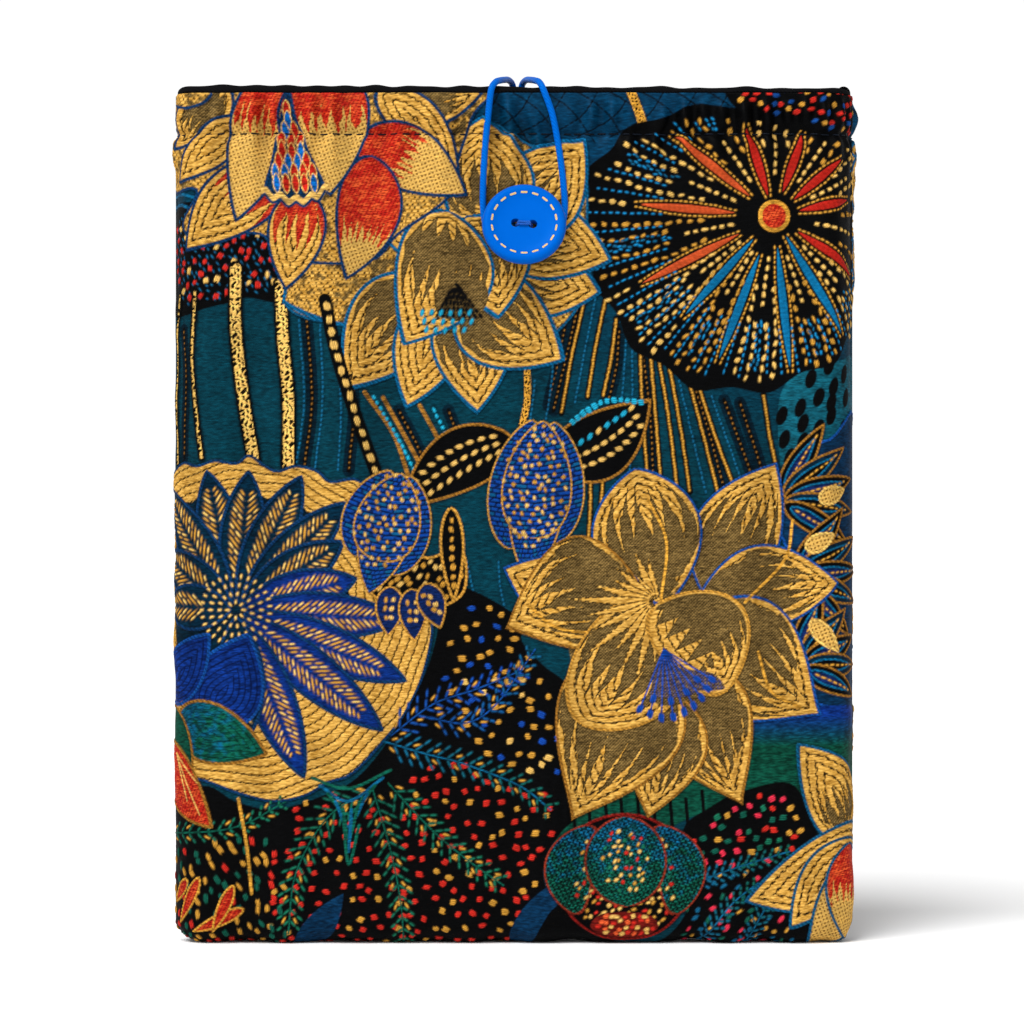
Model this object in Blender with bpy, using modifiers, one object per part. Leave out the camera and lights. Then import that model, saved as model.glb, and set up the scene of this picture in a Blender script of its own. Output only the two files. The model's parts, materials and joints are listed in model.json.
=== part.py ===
"""Padded laptop sleeve with a button and an elastic loop, as an assembly of its sewn pieces.

Metres, +Z up. The sleeve stands on its bottom edge with its front towards -Y. The origin is on the
flat underside, midway across. Each wall is a brocade skin, a pad and a lining, and the two walls
meet in the plane y = 0 along both sides and the bottom. An elastic loop comes out of the back rim,
reaches over the mouth and lies round a button that stands off the front on a thread shank.
"""

import math

import bmesh
import bpy
from mathutils import Matrix, Vector
from mathutils.geometry import interpolate_bezier

# Driving sizes of the body, for a 13-inch laptop
WIDTH = 0.260
FABRIC_TOP = 0.324
DEPTH = 0.027
EDGE_ROUND = 0.014
CORNER_ROUND = 0.009
BASE_ROUND = 0.009
FLAT_BASE = 0.012
BASE_SEAM_BACK = 0.004
HEM_DROP = 0.0157
HEM_DIP = 0.0008
HEM_DIP_SPREAD = 0.006

# Layers of a wall, each as its outer face's distance under the skin and its thickness
FABRIC_THICK = 0.0012
PAD_UNDER = 0.0020
PAD_THICK = 0.0029
LINING_UNDER = 0.0058
LINING_THICK = 0.0008
PAD_TOP = 0.3236
SEAM_GAP = 0.0003
PAD_SEAM_GAP = 0.0025

# The lining rolled outwards over the top of each wall
RIM_BASE = 0.3243
RIM_RISE = 0.0011
RIM_REACH = 0.0050
RIM_STEPS = 5

# Threads
SEAM_THREAD = 0.0007
OUTER_SEAM_UNDER = 0.0019
LINING_SEAM_UNDER = 0.0053
SEAM_TOP = 0.3200
TOPSTITCH = 0.0006
TOPSTITCH_OFF = 0.00065

# Elastic loop
CORD = 0.0025
CORD_GAP = 0.0003
LOOP_X = 0.00375
TAIL_X = 0.00125
TAIL_SPREAD = 0.0016
TAIL_Y = 0.0100
TAIL_BOTTOM = 0.3125
TAIL_TOP = 0.3269
HINGE_Z = 0.3292
TUCK_Z = 0.2800
TUCK_HALF = 0.0155
TUCK_DEPTH = 0.0180
LOOP_STEPS = 72
# The left strand from the back rim to where it goes under the button: across from the anchors'
# middle, depth, height. The right strand mirrors it about a middle that drifts towards LOOP_X.
STRAND = (
    (0.0016, 0.0100, 0.3280),
    (0.0018, 0.0096, 0.3292),
    (0.0024, 0.0081, 0.3303),
    (0.0036, 0.0040, 0.3308),
    (0.0052, -0.0025, 0.3301),
    (0.0068, -0.0085, 0.3292),
    (0.0084, -0.0130, 0.3280),
    (0.0100, -0.0154, 0.3248),
    (0.0121, -0.0157, 0.3160),
    (0.0135, -0.0155, 0.3070),
    (0.0146, -0.0153, 0.2975),
    (0.0153, -0.0153, 0.2885),
    (0.0155, -0.0153, 0.2800),
)
BARTACK_Z = 0.3185
BARTACK_LONG = 0.0090
BARTACK_THICK = 0.0012
# The notch in the back pad for the tails, as its inner and outer depths
NOTCH_INNER_Y = 0.0065
NOTCH_OUTER_Y = 0.0125

# Button, on a shank that starts at the front skin
BUTTON_X = 0.0038
BUTTON_Z = 0.2708
BUTTON_TILT = math.radians(17)
BUTTON_R = 0.0160
BUTTON_THICK = 0.0050
BUTTON_BACK = 0.0060
BUTTON_EDGE = 0.0022
BUTTON_EDGE_STEPS = 6
DISH_DROP = 0.0013
# Where the dish turns down from the rim: (in from the button's edge, below its front)
DISH_TURNS = ((0.0032, 0.0006), (0.0045, 0.0011))
HOLE_R = 0.0017
HOLE_SPACING = 0.0066
HOLE_TURN = math.radians(5)
SHANK_START = 0.0003
SHANK_END = 0.0039
SHANK_R = 0.0016
SHANK_FOOT_STEPS = 4
SHANK_HEAD_R = 0.0020
SHANK_HEAD_THICK = 0.0006
STITCH_R = 0.0007
# The bridge's turns: how far each side stays from its hole's middle, and how high it is there
STITCH_UNDER_END = 0.0011
STITCH_TURN_IN = 0.0011
STITCH_TURN_RISE = 0.0002
STITCH_HOLE_IN = 0.0001
STITCH_HOLE_LOW = 0.0008
STITCH_HOLE_HIGH = 0.0012
STITCH_FACE_IN = 0.0009
KNOT_HOLE_R = 0.0016
KNOT_STEM_R = 0.0011
KNOT_R = 0.0024
KNOT_RECESS_R = 0.0029
KNOT_RECESS_DEEP = 0.0024
KNOT_FOOT_ROUND = 0.0003
KNOT_HEAD_ROUND = 0.0005
KNOT_HEAD_DROP = 0.0004
# How far a cutter goes past the faces it cuts through
CUT_PAST = 0.001

# Angles where the rounded edges are sampled, and where the flat middle is
EDGE_ANGLES = tuple(math.radians(a) for a in (0, 9, 26, 46, 68, 90))
MIDDLE = (0.5, 0.0)
BODY_HEIGHTS = (0.060, 0.160, 0.250)
TURN_STEPS = 36

COLOURS = {
    "brocade": ((0.04, 0.22, 0.29, 1), 0.60, 0.0),
    "padding": ((0.80, 0.79, 0.75, 1), 0.95, 0.0),
    "lining": ((0.012, 0.012, 0.013, 1), 0.80, 0.0),
    "seam_thread": ((0.02, 0.03, 0.05, 1), 0.70, 0.0),
    "black_thread": ((0.01, 0.01, 0.01, 1), 0.70, 0.0),
    "elastic": ((0.02, 0.16, 0.63, 1), 0.55, 0.0),
    "button": ((0.0, 0.17, 0.86, 1), 0.35, 0.0),
    "blue_thread": ((0.01, 0.10, 0.50, 1), 0.60, 0.0),
}


# ---- scene helpers ----


def clear_scene():
    for obj in list(bpy.data.objects):
        bpy.data.objects.remove(obj, do_unlink=True)


def new_collection(name):
    collection = bpy.data.collections.new(name)
    bpy.context.scene.collection.children.link(collection)
    return collection


def new_material(name):
    colour, roughness, metallic = COLOURS[name]
    material = bpy.data.materials.new(name)
    material.use_nodes = True
    material.diffuse_color = colour
    shader = material.node_tree.nodes["Principled BSDF"]
    shader.inputs["Base Color"].default_value = colour
    shader.inputs["Roughness"].default_value = roughness
    shader.inputs["Metallic"].default_value = metallic
    return material


def finish_object(obj, material):
    """Puts a piece in the sleeve's collection with its own material."""
    for old in list(obj.users_collection):
        old.objects.unlink(obj)
    SLEEVE.objects.link(obj)
    obj.data.materials.clear()
    obj.data.materials.append(material)
    return obj


def cutter(name, build):
    """A helper solid that only cuts: build fills its bmesh."""
    bm = bmesh.new()
    build(bm)
    mesh = bpy.data.meshes.new(name)
    bmesh.ops.recalc_face_normals(bm, faces=bm.faces)
    bm.to_mesh(mesh)
    bm.free()
    obj = bpy.data.objects.new(name, mesh)
    CUTTERS.objects.link(obj)
    obj.hide_render = True
    obj.display_type = "WIRE"
    return obj


def cut(obj, tool):
    modifier = obj.modifiers.new("cut_" + tool.name, "BOOLEAN")
    modifier.operation = "DIFFERENCE"
    modifier.object = tool


def fill_cylinder(bm, radius, start, end):
    """A cylinder between two points."""
    axis = Vector(end) - Vector(start)
    turn = axis.to_track_quat("Z", "Y").to_matrix().to_4x4()
    middle = (Vector(start) + Vector(end)) / 2
    bmesh.ops.create_cone(
        bm,
        cap_ends=True,
        segments=20,
        radius1=radius,
        radius2=radius,
        depth=axis.length,
        matrix=Matrix.Translation(middle) @ turn,
    )


def fill_box(bm, low, high):
    low, high = Vector(low), Vector(high)
    size = Matrix.Diagonal((*(high - low), 1))
    bmesh.ops.create_cube(bm, size=1, matrix=Matrix.Translation((low + high) / 2) @ size)


def tube(name, points, thickness, material, sides=2):
    """A round cord or thread along the points, with closed ends."""
    curve = bpy.data.curves.new(name, "CURVE")
    curve.dimensions = "3D"
    curve.bevel_depth = thickness / 2
    curve.bevel_resolution = sides
    curve.use_fill_caps = True
    spline = curve.splines.new("POLY")
    spline.points.add(len(points) - 1)
    for slot, point in zip(spline.points, points):
        slot.co = (*point, 1)
    obj = bpy.data.objects.new(name, curve)
    bpy.context.scene.collection.objects.link(obj)
    return finish_object(obj, material)


def turned(name, profile, material, matrix):
    """A turned piece: the profile is (radius, height) from its bottom middle to its top middle."""
    bm = bmesh.new()
    last = None
    for radius, height in reversed(profile):
        point = bm.verts.new((radius, 0, height))
        if last:
            bm.edges.new((last, point))
        last = point
    mesh = bpy.data.meshes.new(name)
    bm.to_mesh(mesh)
    bm.free()
    obj = bpy.data.objects.new(name, mesh)
    bpy.context.scene.collection.objects.link(obj)
    screw = obj.modifiers.new("turn", "SCREW")
    screw.steps = screw.render_steps = TURN_STEPS
    screw.use_merge_vertices = True
    screw.merge_threshold = 0.00001
    obj.matrix_world = matrix
    return finish_object(obj, material)


# ---- the body's shape ----


def hem_dip(z):
    """How far the line of topstitching draws the wall in at this height."""
    reach = abs(z - (FABRIC_TOP - HEM_DROP)) / HEM_DIP_SPREAD
    return HEM_DIP * max(0, 1 - reach)


def columns():
    """Across the panel: (sign, angle round the edge, part of the flat middle's half width)."""
    right = [(1, angle, 1.0) for angle in EDGE_ANGLES]
    right += [(1, EDGE_ANGLES[-1], fraction) for fraction in MIDDLE]
    left = [(-1, angle, fraction) for _, angle, fraction in right]
    return left + right[-2::-1]


def rounded_corner(x, z, half, under):
    """Pulls the square bottom corner of an outline in to a round one."""
    radius = max(CORNER_ROUND - under, 0.002)
    p = (abs(x) - (half - radius)) / radius
    q = (under + radius - z) / radius
    if p <= 0 or q <= 0:
        return x, z
    p_round = p * math.sqrt(max(0, 1 - q * q / 2))
    q_round = q * math.sqrt(max(0, 1 - p * p / 2))
    return math.copysign(half - radius + radius * p_round, x), under + radius * (1 - q_round)


def skin_point(side, column, row, under, gap):
    """A point of a wall's surface, under the skin by a distance. side is -1 in front, 1 behind."""
    sign, angle, fraction = column
    part, height, depth_z = row
    dip = hem_dip(height) if part == "body" else 0
    half = WIDTH / 2 - under - dip
    full = DEPTH / 2 - under - dip
    start = math.asin(gap / full)
    angle = start + angle * (1 - start / EDGE_ANGLES[-1])
    depth_x = math.sin(angle)
    edge = EDGE_ROUND - under
    bulge = edge * math.cos(angle) if fraction == 1 else 0
    x = sign * ((half - edge) * fraction + bulge)
    z = under + (BASE_ROUND - under) * height if part == "base" else height
    base_flat = FLAT_BASE / 2 / full
    depth_z = base_flat + (1 - base_flat) * depth_z if depth_z >= 0 else 0
    x, z = rounded_corner(x, z, half, under)
    seam = BASE_SEAM_BACK * depth_x**4 * (1 - depth_z)
    return Vector((x, seam + side * max(gap, full * depth_x * depth_z), z))


def wall_rows(top):
    """Up the panel: (part, height, depth); a depth of -1 is the seam line under the base."""
    rows = [("base", 0.0, -1)]
    rows += [("base", 1 - math.cos(angle), math.sin(angle)) for angle in EDGE_ANGLES]
    hem = FABRIC_TOP - HEM_DROP
    heights = BODY_HEIGHTS + (hem - HEM_DIP_SPREAD, hem, hem + HEM_DIP_SPREAD, top)
    rows += [("body", height, 1.0) for height in heights]
    return rows


def rim_rows():
    """Over the top of a wall: (row, distance under the skin), from its inside out."""
    outer_under = LINING_UNDER - RIM_REACH
    middle = (LINING_UNDER + outer_under) / 2
    rows = []
    for step in range(RIM_STEPS + 1):
        turn = math.pi * step / RIM_STEPS
        height = RIM_BASE + RIM_RISE * math.sin(turn)
        rows.append((("body", height, 1.0), middle + RIM_REACH / 2 * math.cos(turn)))
    return rows


def grid_surface(bm, side, rows, gap):
    """An open grid over (row, distance under the skin) pairs."""
    lines = []
    for row, under in rows:
        lines.append(
            [bm.verts.new(skin_point(side, column, row, under, gap)) for column in columns()]
        )
    for low, high in zip(lines, lines[1:]):
        for i in range(len(low) - 1):
            corners = (low[i], low[i + 1], high[i + 1], high[i])
            bm.faces.new(corners if side < 0 else corners[::-1])


def wall_layer(name, side, rows, gap, thick, material):
    """One layer of a wall: an open surface, thickened towards the inside of the sleeve."""
    bm = bmesh.new()
    grid_surface(bm, side, rows, gap)
    mesh = bpy.data.meshes.new(name)
    bm.to_mesh(mesh)
    bm.free()
    obj = bpy.data.objects.new(name, mesh)
    bpy.context.scene.collection.objects.link(obj)
    solid = obj.modifiers.new("thickness", "SOLIDIFY")
    solid.thickness = thick
    solid.offset = -1
    finish_object(obj, material)
    mesh.shade_smooth()
    return obj


# ---- the pieces ----


def make_walls():
    for side, end in ((-1, "front"), (1, "back")):
        skin_rows = [(row, 0.0) for row in wall_rows(FABRIC_TOP)]
        wall_layer("outer_" + end, side, skin_rows, SEAM_GAP, FABRIC_THICK, MATERIAL["brocade"])
        pad_rows = [(row, PAD_UNDER) for row in wall_rows(PAD_TOP)]
        wall_layer("padding_" + end, side, pad_rows, PAD_SEAM_GAP, PAD_THICK, MATERIAL["padding"])
        lining_rows = [(row, LINING_UNDER) for row in wall_rows(RIM_BASE)[:-1]] + rim_rows()
        wall_layer(
            "lining_" + end, side, lining_rows, SEAM_GAP, LINING_THICK, MATERIAL["lining"]
        )


def seam_route(under):
    """Down one side, across the bottom and up the other, where the two walls meet."""
    rows = wall_rows(SEAM_TOP)
    across = columns()
    down = [skin_point(0, across[0], row, under, 0) for row in reversed(rows[2:])]
    bottom = [skin_point(0, column, rows[0], under, 0) for column in across]
    up = [skin_point(0, across[-1], row, under, 0) for row in rows[2:]]
    return down + bottom + up


def make_seams():
    thread = MATERIAL["seam_thread"]
    tube("outer_seam_thread", seam_route(OUTER_SEAM_UNDER), SEAM_THREAD, thread)
    tube("lining_seam_thread", seam_route(LINING_SEAM_UNDER), SEAM_THREAD, thread)


def make_topstitch():
    """A thread across each wall in the dip it draws, just off the skin."""
    row = ("body", FABRIC_TOP - HEM_DROP, 1.0)
    across = columns()[1:-1]
    for side, end in ((-1, "front"), (1, "back")):
        points = [skin_point(side, column, row, -TOPSTITCH_OFF, 0) for column in across]
        tube("topstitch_" + end, points, TOPSTITCH, MATERIAL["seam_thread"], sides=1)


def smooth_route(points, steps):
    """Points at even lengths along a smooth curve through the given ones."""
    points = [Vector(p) for p in points]
    fine = []
    for i in range(len(points) - 1):
        before = points[max(i - 1, 0)]
        after = points[min(i + 2, len(points) - 1)]
        start, end = points[i], points[i + 1]
        handle_1 = start + (end - before) / 6
        handle_2 = end - (after - start) / 6
        fine += interpolate_bezier(start, handle_1, handle_2, end, 12)[:-1]
    fine.append(points[-1])
    lengths = [0.0]
    for a, b in zip(fine, fine[1:]):
        lengths.append(lengths[-1] + (b - a).length)
    route, i = [], 0
    for step in range(steps + 1):
        wanted = lengths[-1] * step / steps
        while i < len(fine) - 2 and lengths[i + 1] < wanted:
            i += 1
        part = (wanted - lengths[i]) / (lengths[i + 1] - lengths[i])
        route.append(fine[i].lerp(fine[i + 1], part))
    return route


def strand_middle(z):
    """Between the strands: it drifts from between the anchors to behind the button."""
    drift = min(1, max(0, (FABRIC_TOP - z) / (FABRIC_TOP - TUCK_Z)))
    return TAIL_X + (LOOP_X - TAIL_X) * drift**0.5


def loop_route():
    """Down the left strand, round behind the button and up the right strand."""
    left = [(strand_middle(z) - half, y, z) for half, y, z in STRAND]
    right = [(strand_middle(z) + half, y, z) for half, y, z in reversed(STRAND)]
    bottom = []
    for step in range(1, 8):
        turn = math.pi * step / 8
        across = LOOP_X - TUCK_HALF * math.cos(turn)
        bottom.append((across, STRAND[-1][1], TUCK_Z - TUCK_DEPTH * math.sin(turn)))
    return smooth_route(left + bottom + right, LOOP_STEPS)


def make_loop():
    elastic = MATERIAL["elastic"]
    tube("elastic_loop", loop_route(), CORD, elastic)
    for sign, end in ((-1, "left"), (1, "right")):
        x = TAIL_X + sign * TAIL_SPREAD
        points = [(x, TAIL_Y, TAIL_BOTTOM), (x, TAIL_Y, TAIL_TOP)]
        tube("loop_tail_" + end, points, CORD, elastic)
    y = DEPTH / 2 + BARTACK_THICK / 2 + CORD_GAP
    ends = [(TAIL_X - BARTACK_LONG / 2, y, BARTACK_Z), (TAIL_X + BARTACK_LONG / 2, y, BARTACK_Z)]
    tube("loop_bartack", ends, BARTACK_THICK, MATERIAL["black_thread"])


def make_tail_openings():
    """A notch in the back pad for the tails, and a slot in the rolled rim where they come out."""
    reach = TAIL_SPREAD + CORD / 2 + CORD_GAP
    notch_low = (TAIL_X - reach, NOTCH_INNER_Y, TAIL_BOTTOM - CORD_GAP)
    notch_high = (TAIL_X + reach, NOTCH_OUTER_Y, RIM_BASE)
    pad_notch = cutter("pad_notch", lambda bm: fill_box(bm, notch_low, notch_high))
    cut(bpy.data.objects["padding_back"], pad_notch)
    half = CORD / 2 + CORD_GAP
    slot_low = (TAIL_X - reach, TAIL_Y - half, RIM_BASE - RIM_RISE)
    slot_high = (TAIL_X + reach, TAIL_Y + half, HINGE_Z)
    rim_slot = cutter("rim_slot", lambda bm: fill_box(bm, slot_low, slot_high))
    cut(bpy.data.objects["lining_back"], rim_slot)


def button_matrix():
    """From the button's own frame, with +Z out of the front and the origin on the skin."""
    place = Matrix.Translation((BUTTON_X, -DEPTH / 2, BUTTON_Z))
    return place @ Matrix.Rotation(math.pi / 2 - BUTTON_TILT, 4, "X")


def button_profile():
    """(radius, height) of the dished disc, from the middle of its back to its face's middle."""
    back, front = BUTTON_BACK, BUTTON_BACK + BUTTON_THICK
    edge = []
    for step in range(BUTTON_EDGE_STEPS + 1):
        turn = -math.pi / 2 + math.pi * step / BUTTON_EDGE_STEPS
        bulge = BUTTON_THICK / 2
        height = back + bulge + bulge * math.sin(turn)
        edge.append((BUTTON_R - BUTTON_EDGE + BUTTON_EDGE * math.cos(turn), height))
    dish = [(BUTTON_R - inwards, front - drop) for inwards, drop in DISH_TURNS]
    return [(0, back)] + edge + dish + [(0, front - DISH_DROP)]


def hole_places():
    half = HOLE_SPACING / 2
    across = Vector((math.cos(HOLE_TURN), -math.sin(HOLE_TURN), 0))
    return [-across * half, across * half]


def make_button():
    matrix = button_matrix()
    button = turned("button", button_profile(), MATERIAL["button"], matrix)
    deep = Vector((0, 0, BUTTON_BACK - CUT_PAST))
    high = Vector((0, 0, BUTTON_BACK + BUTTON_THICK + CUT_PAST))
    for number, place in enumerate(hole_places(), 1):
        tool = cutter(
            f"button_hole_{number}",
            lambda bm: fill_cylinder(bm, HOLE_R, place + deep, place + high),
        )
        tool.matrix_world = matrix
        cut(button, tool)


def make_button_stitch():
    """The thread bridge: up through one hole, across the face, and down through the other."""
    left, right = hole_places()
    across = right.normalized()
    half = right.length
    face = BUTTON_BACK + BUTTON_THICK - DISH_DROP + STITCH_R + CORD_GAP
    under = BUTTON_BACK - STITCH_R - CORD_GAP
    turns = (
        (STITCH_UNDER_END, under),
        (half - STITCH_TURN_IN, under + STITCH_TURN_RISE),
        (half - STITCH_HOLE_IN, BUTTON_BACK + STITCH_HOLE_LOW),
        (half - STITCH_HOLE_IN, face - STITCH_HOLE_HIGH),
        (half - STITCH_FACE_IN, face),
    )
    route = []
    for sign in (-1, 1):
        side = [across * reach + Vector((0, 0, height)) for reach, height in turns]
        side = [Vector((sign * p.x, sign * p.y, p.z)) for p in side]
        route += side if sign < 0 else side[::-1]
    stitch = tube("button_stitch", route, 2 * STITCH_R, MATERIAL["blue_thread"])
    stitch.matrix_world = button_matrix()


def make_shank():
    """The wound neck, with a round foot so that it can lean on the skin."""
    foot = []
    for step in range(SHANK_FOOT_STEPS + 1):
        turn = math.pi / 2 * step / SHANK_FOOT_STEPS
        foot.append((SHANK_R * math.sin(turn), SHANK_START + SHANK_R * (1 - math.cos(turn))))
    top = [(SHANK_R, SHANK_END - SHANK_HEAD_THICK), (SHANK_HEAD_R, SHANK_END), (0, SHANK_END)]
    turned("button_shank", foot + top, MATERIAL["blue_thread"], button_matrix())


def drilled(target, name, radius, start_y, end_y):
    """Cuts a round hole through a piece, straight in behind the button's middle."""
    start, end = (BUTTON_X, start_y, BUTTON_Z), (BUTTON_X, end_y, BUTTON_Z)
    tool = cutter(name, lambda bm: fill_cylinder(bm, radius, start, end))
    cut(bpy.data.objects[target], tool)


def make_knot():
    """The thread through the front skin and its knot, in a recess in the pad."""
    skin = -DEPTH / 2
    pad_face = skin + PAD_UNDER
    drilled(
        "outer_front", "knot_hole", KNOT_HOLE_R, skin - CUT_PAST, skin + FABRIC_THICK + CUT_PAST
    )
    drilled(
        "padding_front", "knot_recess", KNOT_RECESS_R, pad_face - CUT_PAST,
        pad_face + KNOT_RECESS_DEEP,
    )
    place = Matrix.Translation((BUTTON_X, skin, BUTTON_Z)) @ Matrix.Rotation(-math.pi / 2, 4, "X")
    knot_start = PAD_UNDER + CORD_GAP
    knot_end = PAD_UNDER + KNOT_RECESS_DEEP - CORD_GAP
    profile = [
        (0, 0.0),
        (KNOT_STEM_R, 0.0),
        (KNOT_STEM_R, knot_start),
        (KNOT_R, knot_start + KNOT_FOOT_ROUND),
        (KNOT_R, knot_end - KNOT_HEAD_DROP),
        (KNOT_R - KNOT_HEAD_ROUND, knot_end),
        (0, knot_end),
    ]
    turned("button_knot", profile, MATERIAL["blue_thread"], place)


def main():
    make_walls()
    make_seams()
    make_topstitch()
    make_loop()
    make_tail_openings()
    make_knot()
    make_shank()
    make_button()
    make_button_stitch()


clear_scene()
SLEEVE = new_collection("laptop_sleeve")
CUTTERS = new_collection("cutters")
MATERIAL = {name: new_material(name) for name in COLOURS}
main()
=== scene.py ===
"""Looks of the padded laptop sleeve: brocade cover, black lining, elastic loop and blue button.

The brocade is drawn on a canvas of colours and thread heights in millimetres, from formulas, and
each panel's mesh carries them on its points. Everything rides on the CAD bodies in their frame.
"""

import json
import math

import bmesh
import bpy
import numpy as np
from mathutils import Matrix, Vector
from mathutils.geometry import interpolate_bezier

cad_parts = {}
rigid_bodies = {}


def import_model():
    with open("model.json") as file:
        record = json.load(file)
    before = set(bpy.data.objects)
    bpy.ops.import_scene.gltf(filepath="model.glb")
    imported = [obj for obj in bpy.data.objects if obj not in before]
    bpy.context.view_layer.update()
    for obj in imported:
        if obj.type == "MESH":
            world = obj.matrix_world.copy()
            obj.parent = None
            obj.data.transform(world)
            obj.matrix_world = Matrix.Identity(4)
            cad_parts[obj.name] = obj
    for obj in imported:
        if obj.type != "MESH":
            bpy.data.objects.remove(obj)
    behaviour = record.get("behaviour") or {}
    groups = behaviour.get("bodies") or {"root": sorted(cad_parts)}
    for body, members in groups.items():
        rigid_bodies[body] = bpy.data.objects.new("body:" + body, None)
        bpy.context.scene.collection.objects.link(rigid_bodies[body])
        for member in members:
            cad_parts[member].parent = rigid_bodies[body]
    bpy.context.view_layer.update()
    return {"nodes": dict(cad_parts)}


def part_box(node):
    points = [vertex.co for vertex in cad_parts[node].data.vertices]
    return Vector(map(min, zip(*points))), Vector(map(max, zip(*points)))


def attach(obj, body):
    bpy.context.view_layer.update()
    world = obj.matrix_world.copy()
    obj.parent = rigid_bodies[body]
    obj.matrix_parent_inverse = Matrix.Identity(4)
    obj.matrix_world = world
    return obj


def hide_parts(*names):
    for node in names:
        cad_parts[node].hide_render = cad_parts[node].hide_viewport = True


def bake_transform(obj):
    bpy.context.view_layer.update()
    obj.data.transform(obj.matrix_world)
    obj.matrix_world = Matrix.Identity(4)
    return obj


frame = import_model()

# ---- the brocade: a canvas of woven colour and relief, in millimetres over the panel ----

PITCH = 0.4
BACK_PITCH = 0.5
U_EDGE = 138.0
V_LOW = -14.0
V_HIGH = 324.0

# Thread colours
GOLD = (0.5874, 0.2803, 0.032)
GOLD_LIGHT = (0.7654, 0.4361, 0.0934)
GOLD_DEEP = (0.34, 0.145, 0.018)
GOLD_RIM = (0.52, 0.25, 0.034)
STITCH_LINE = (0.030, 0.016, 0.006)
TAUPE = (0.082, 0.048, 0.013)
TAUPE_LIGHT = (0.38, 0.235, 0.070)
CHECK = (0.7392, 0.44, 0.1056)
TEAL = (0.0015, 0.066, 0.102)
TEAL_SHADE = (0.001, 0.024, 0.046)
TOP_BLUE = (0.001, 0.058, 0.135)
NIGHT_BLUE = (0.002, 0.062, 0.150)
OVAL_TEAL = (0.006, 0.13, 0.19)
NAVY = (0.003, 0.045, 0.125)
NAVY_LEAF = (0.001, 0.036, 0.080)
ROSETTE_GROUND = (0.001, 0.030, 0.062)
COBALT = (0.004, 0.038, 0.27)
COBALT_DARK = (0.006, 0.028, 0.16)
COBALT_SHADE = (0.002, 0.01, 0.08)
BLUE_LINE = (0.005, 0.072, 0.32)
BLUE_EDGE = (0.004, 0.046, 0.15)
BLUE_DOT = (0.004, 0.066, 0.42)
RAY_BLUE = (0.003, 0.21, 0.47)
WEDGE_BLUE = (0.003, 0.15, 0.55)
CYAN = (0.010, 0.36, 0.56)
CYAN_DEEP = (0.003, 0.125, 0.26)
CYAN_EDGE = (0.004, 0.105, 0.23)
LOTUS_EDGE = (0.003, 0.125, 0.29)
BLACK = (0.0035, 0.0037, 0.0045)
RED = (0.6324, 0.0205, 0.0112)
RED_SLIT = (0.16, 0.004, 0.003)
RED_RIM = (0.26, 0.010, 0.007)
RED_FOOT = (0.22, 0.012, 0.008)
RED_BROWN = (0.30, 0.03, 0.012)
ORANGE = (0.78, 0.105, 0.025)
PINK = (0.72, 0.025, 0.06)
GREEN = (0.004, 0.105, 0.062)
GREEN_BRIGHT = (0.008, 0.19, 0.10)
GREEN_SHADE = (0.0, 0.012, 0.01)
LEAF_GREEN = (0.004, 0.135, 0.085)

# A petal's outline: how blunt it is at its root and at its tip
ROUND = (0.5, 0.5)
DROP = (0.6, 0.95)
LENS = (0.75, 0.75)
LEAF = (0.8, 0.85)


class Canvas:
    """One panel's colours and relief. u runs across and v up, both along the cloth, in mm."""

    def __init__(self, pitch, seed):
        self.pitch = pitch
        self.u = np.arange(-U_EDGE, U_EDGE + pitch / 2, pitch, dtype=np.float32)
        self.v = np.arange(V_LOW, V_HIGH + pitch / 2, pitch, dtype=np.float32)
        shape = (len(self.v), len(self.u))
        self.rng = np.random.default_rng(seed)
        self.shift = 0
        self.rgb = np.zeros(shape + (3,), np.float32)
        self.lift = np.zeros(shape, np.float32)
        self.grain = self.rng.standard_normal(shape).astype(np.float32)
        self.fibre = smeared(self.grain, 3, 1)
        self.cloud = smeared(self.rng.standard_normal(shape).astype(np.float32), 4, 0)
        self.cloud = smeared(self.cloud, 4, 1)

    def window(self, low, high):
        """The part of the canvas over a box, as slices and its u and v, or None off the cloth.

        The box is in the motif's own place, and shift moves the motif across the cloth.
        """
        i0 = max(0, int((low[1] - V_LOW) / self.pitch))
        i1 = min(len(self.v), int((high[1] - V_LOW) / self.pitch) + 2)
        j0 = max(0, int((low[0] + self.shift + U_EDGE) / self.pitch))
        j1 = min(len(self.u), int((high[0] + self.shift + U_EDGE) / self.pitch) + 2)
        if i1 < i0 + 3 or j1 < j0 + 3:
            return None
        here = (slice(i0, i1), slice(j0, j1))
        return here, self.u[None, j0:j1] - self.shift, self.v[i0:i1, None]

    def lay(self, here, cover, colour, lift):
        """Covers part of the canvas: cover is 0 to 1, lift the height of what is laid."""
        self.rgb[here] = mixed(self.rgb[here], colour, cover)
        self.lift[here] = self.lift[here] * (1 - cover) + lift * cover


def averaged(field, steps, axis):
    """Each point averaged with its neighbours along an axis, several times over."""
    for _ in range(steps):
        field = (np.roll(field, 1, axis) + field + np.roll(field, -1, axis)) / 3
    return field


def smeared(field, steps, axis):
    """Noise drawn out into threads along an axis, brought back to full strength."""
    out = averaged(field, steps, axis)
    return out / out.std()


def soft(distance, width=0.35):
    """From 0 outside to 1 inside, over a soft edge."""
    return np.clip(distance / width + 0.5, 0, 1)


def mixed(a, b, share):
    """Colour a where share is 0, and colour b where it is 1."""
    share = np.asarray(share)[..., None]
    return np.asarray(a, np.float32) * (1 - share) + np.asarray(b, np.float32) * share


def scaled(colour, gain, more=0.0):
    """A colour made brighter or darker."""
    return np.asarray(colour) * gain + more


def zigzag(value):
    """1 at whole numbers and 0 halfway between them, with straight slopes."""
    return np.abs(np.modf(value)[0] * 2 - 1)


def polar(centre, turn, radius):
    """The place at an angle and a distance from a centre."""
    return (centre[0] + radius * math.cos(turn), centre[1] + radius * math.sin(turn))


def between(a, b, share):
    """The place a share of the way from a to b."""
    return (a[0] + (b[0] - a[0]) * share, a[1] + (b[1] - a[1]) * share)


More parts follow.
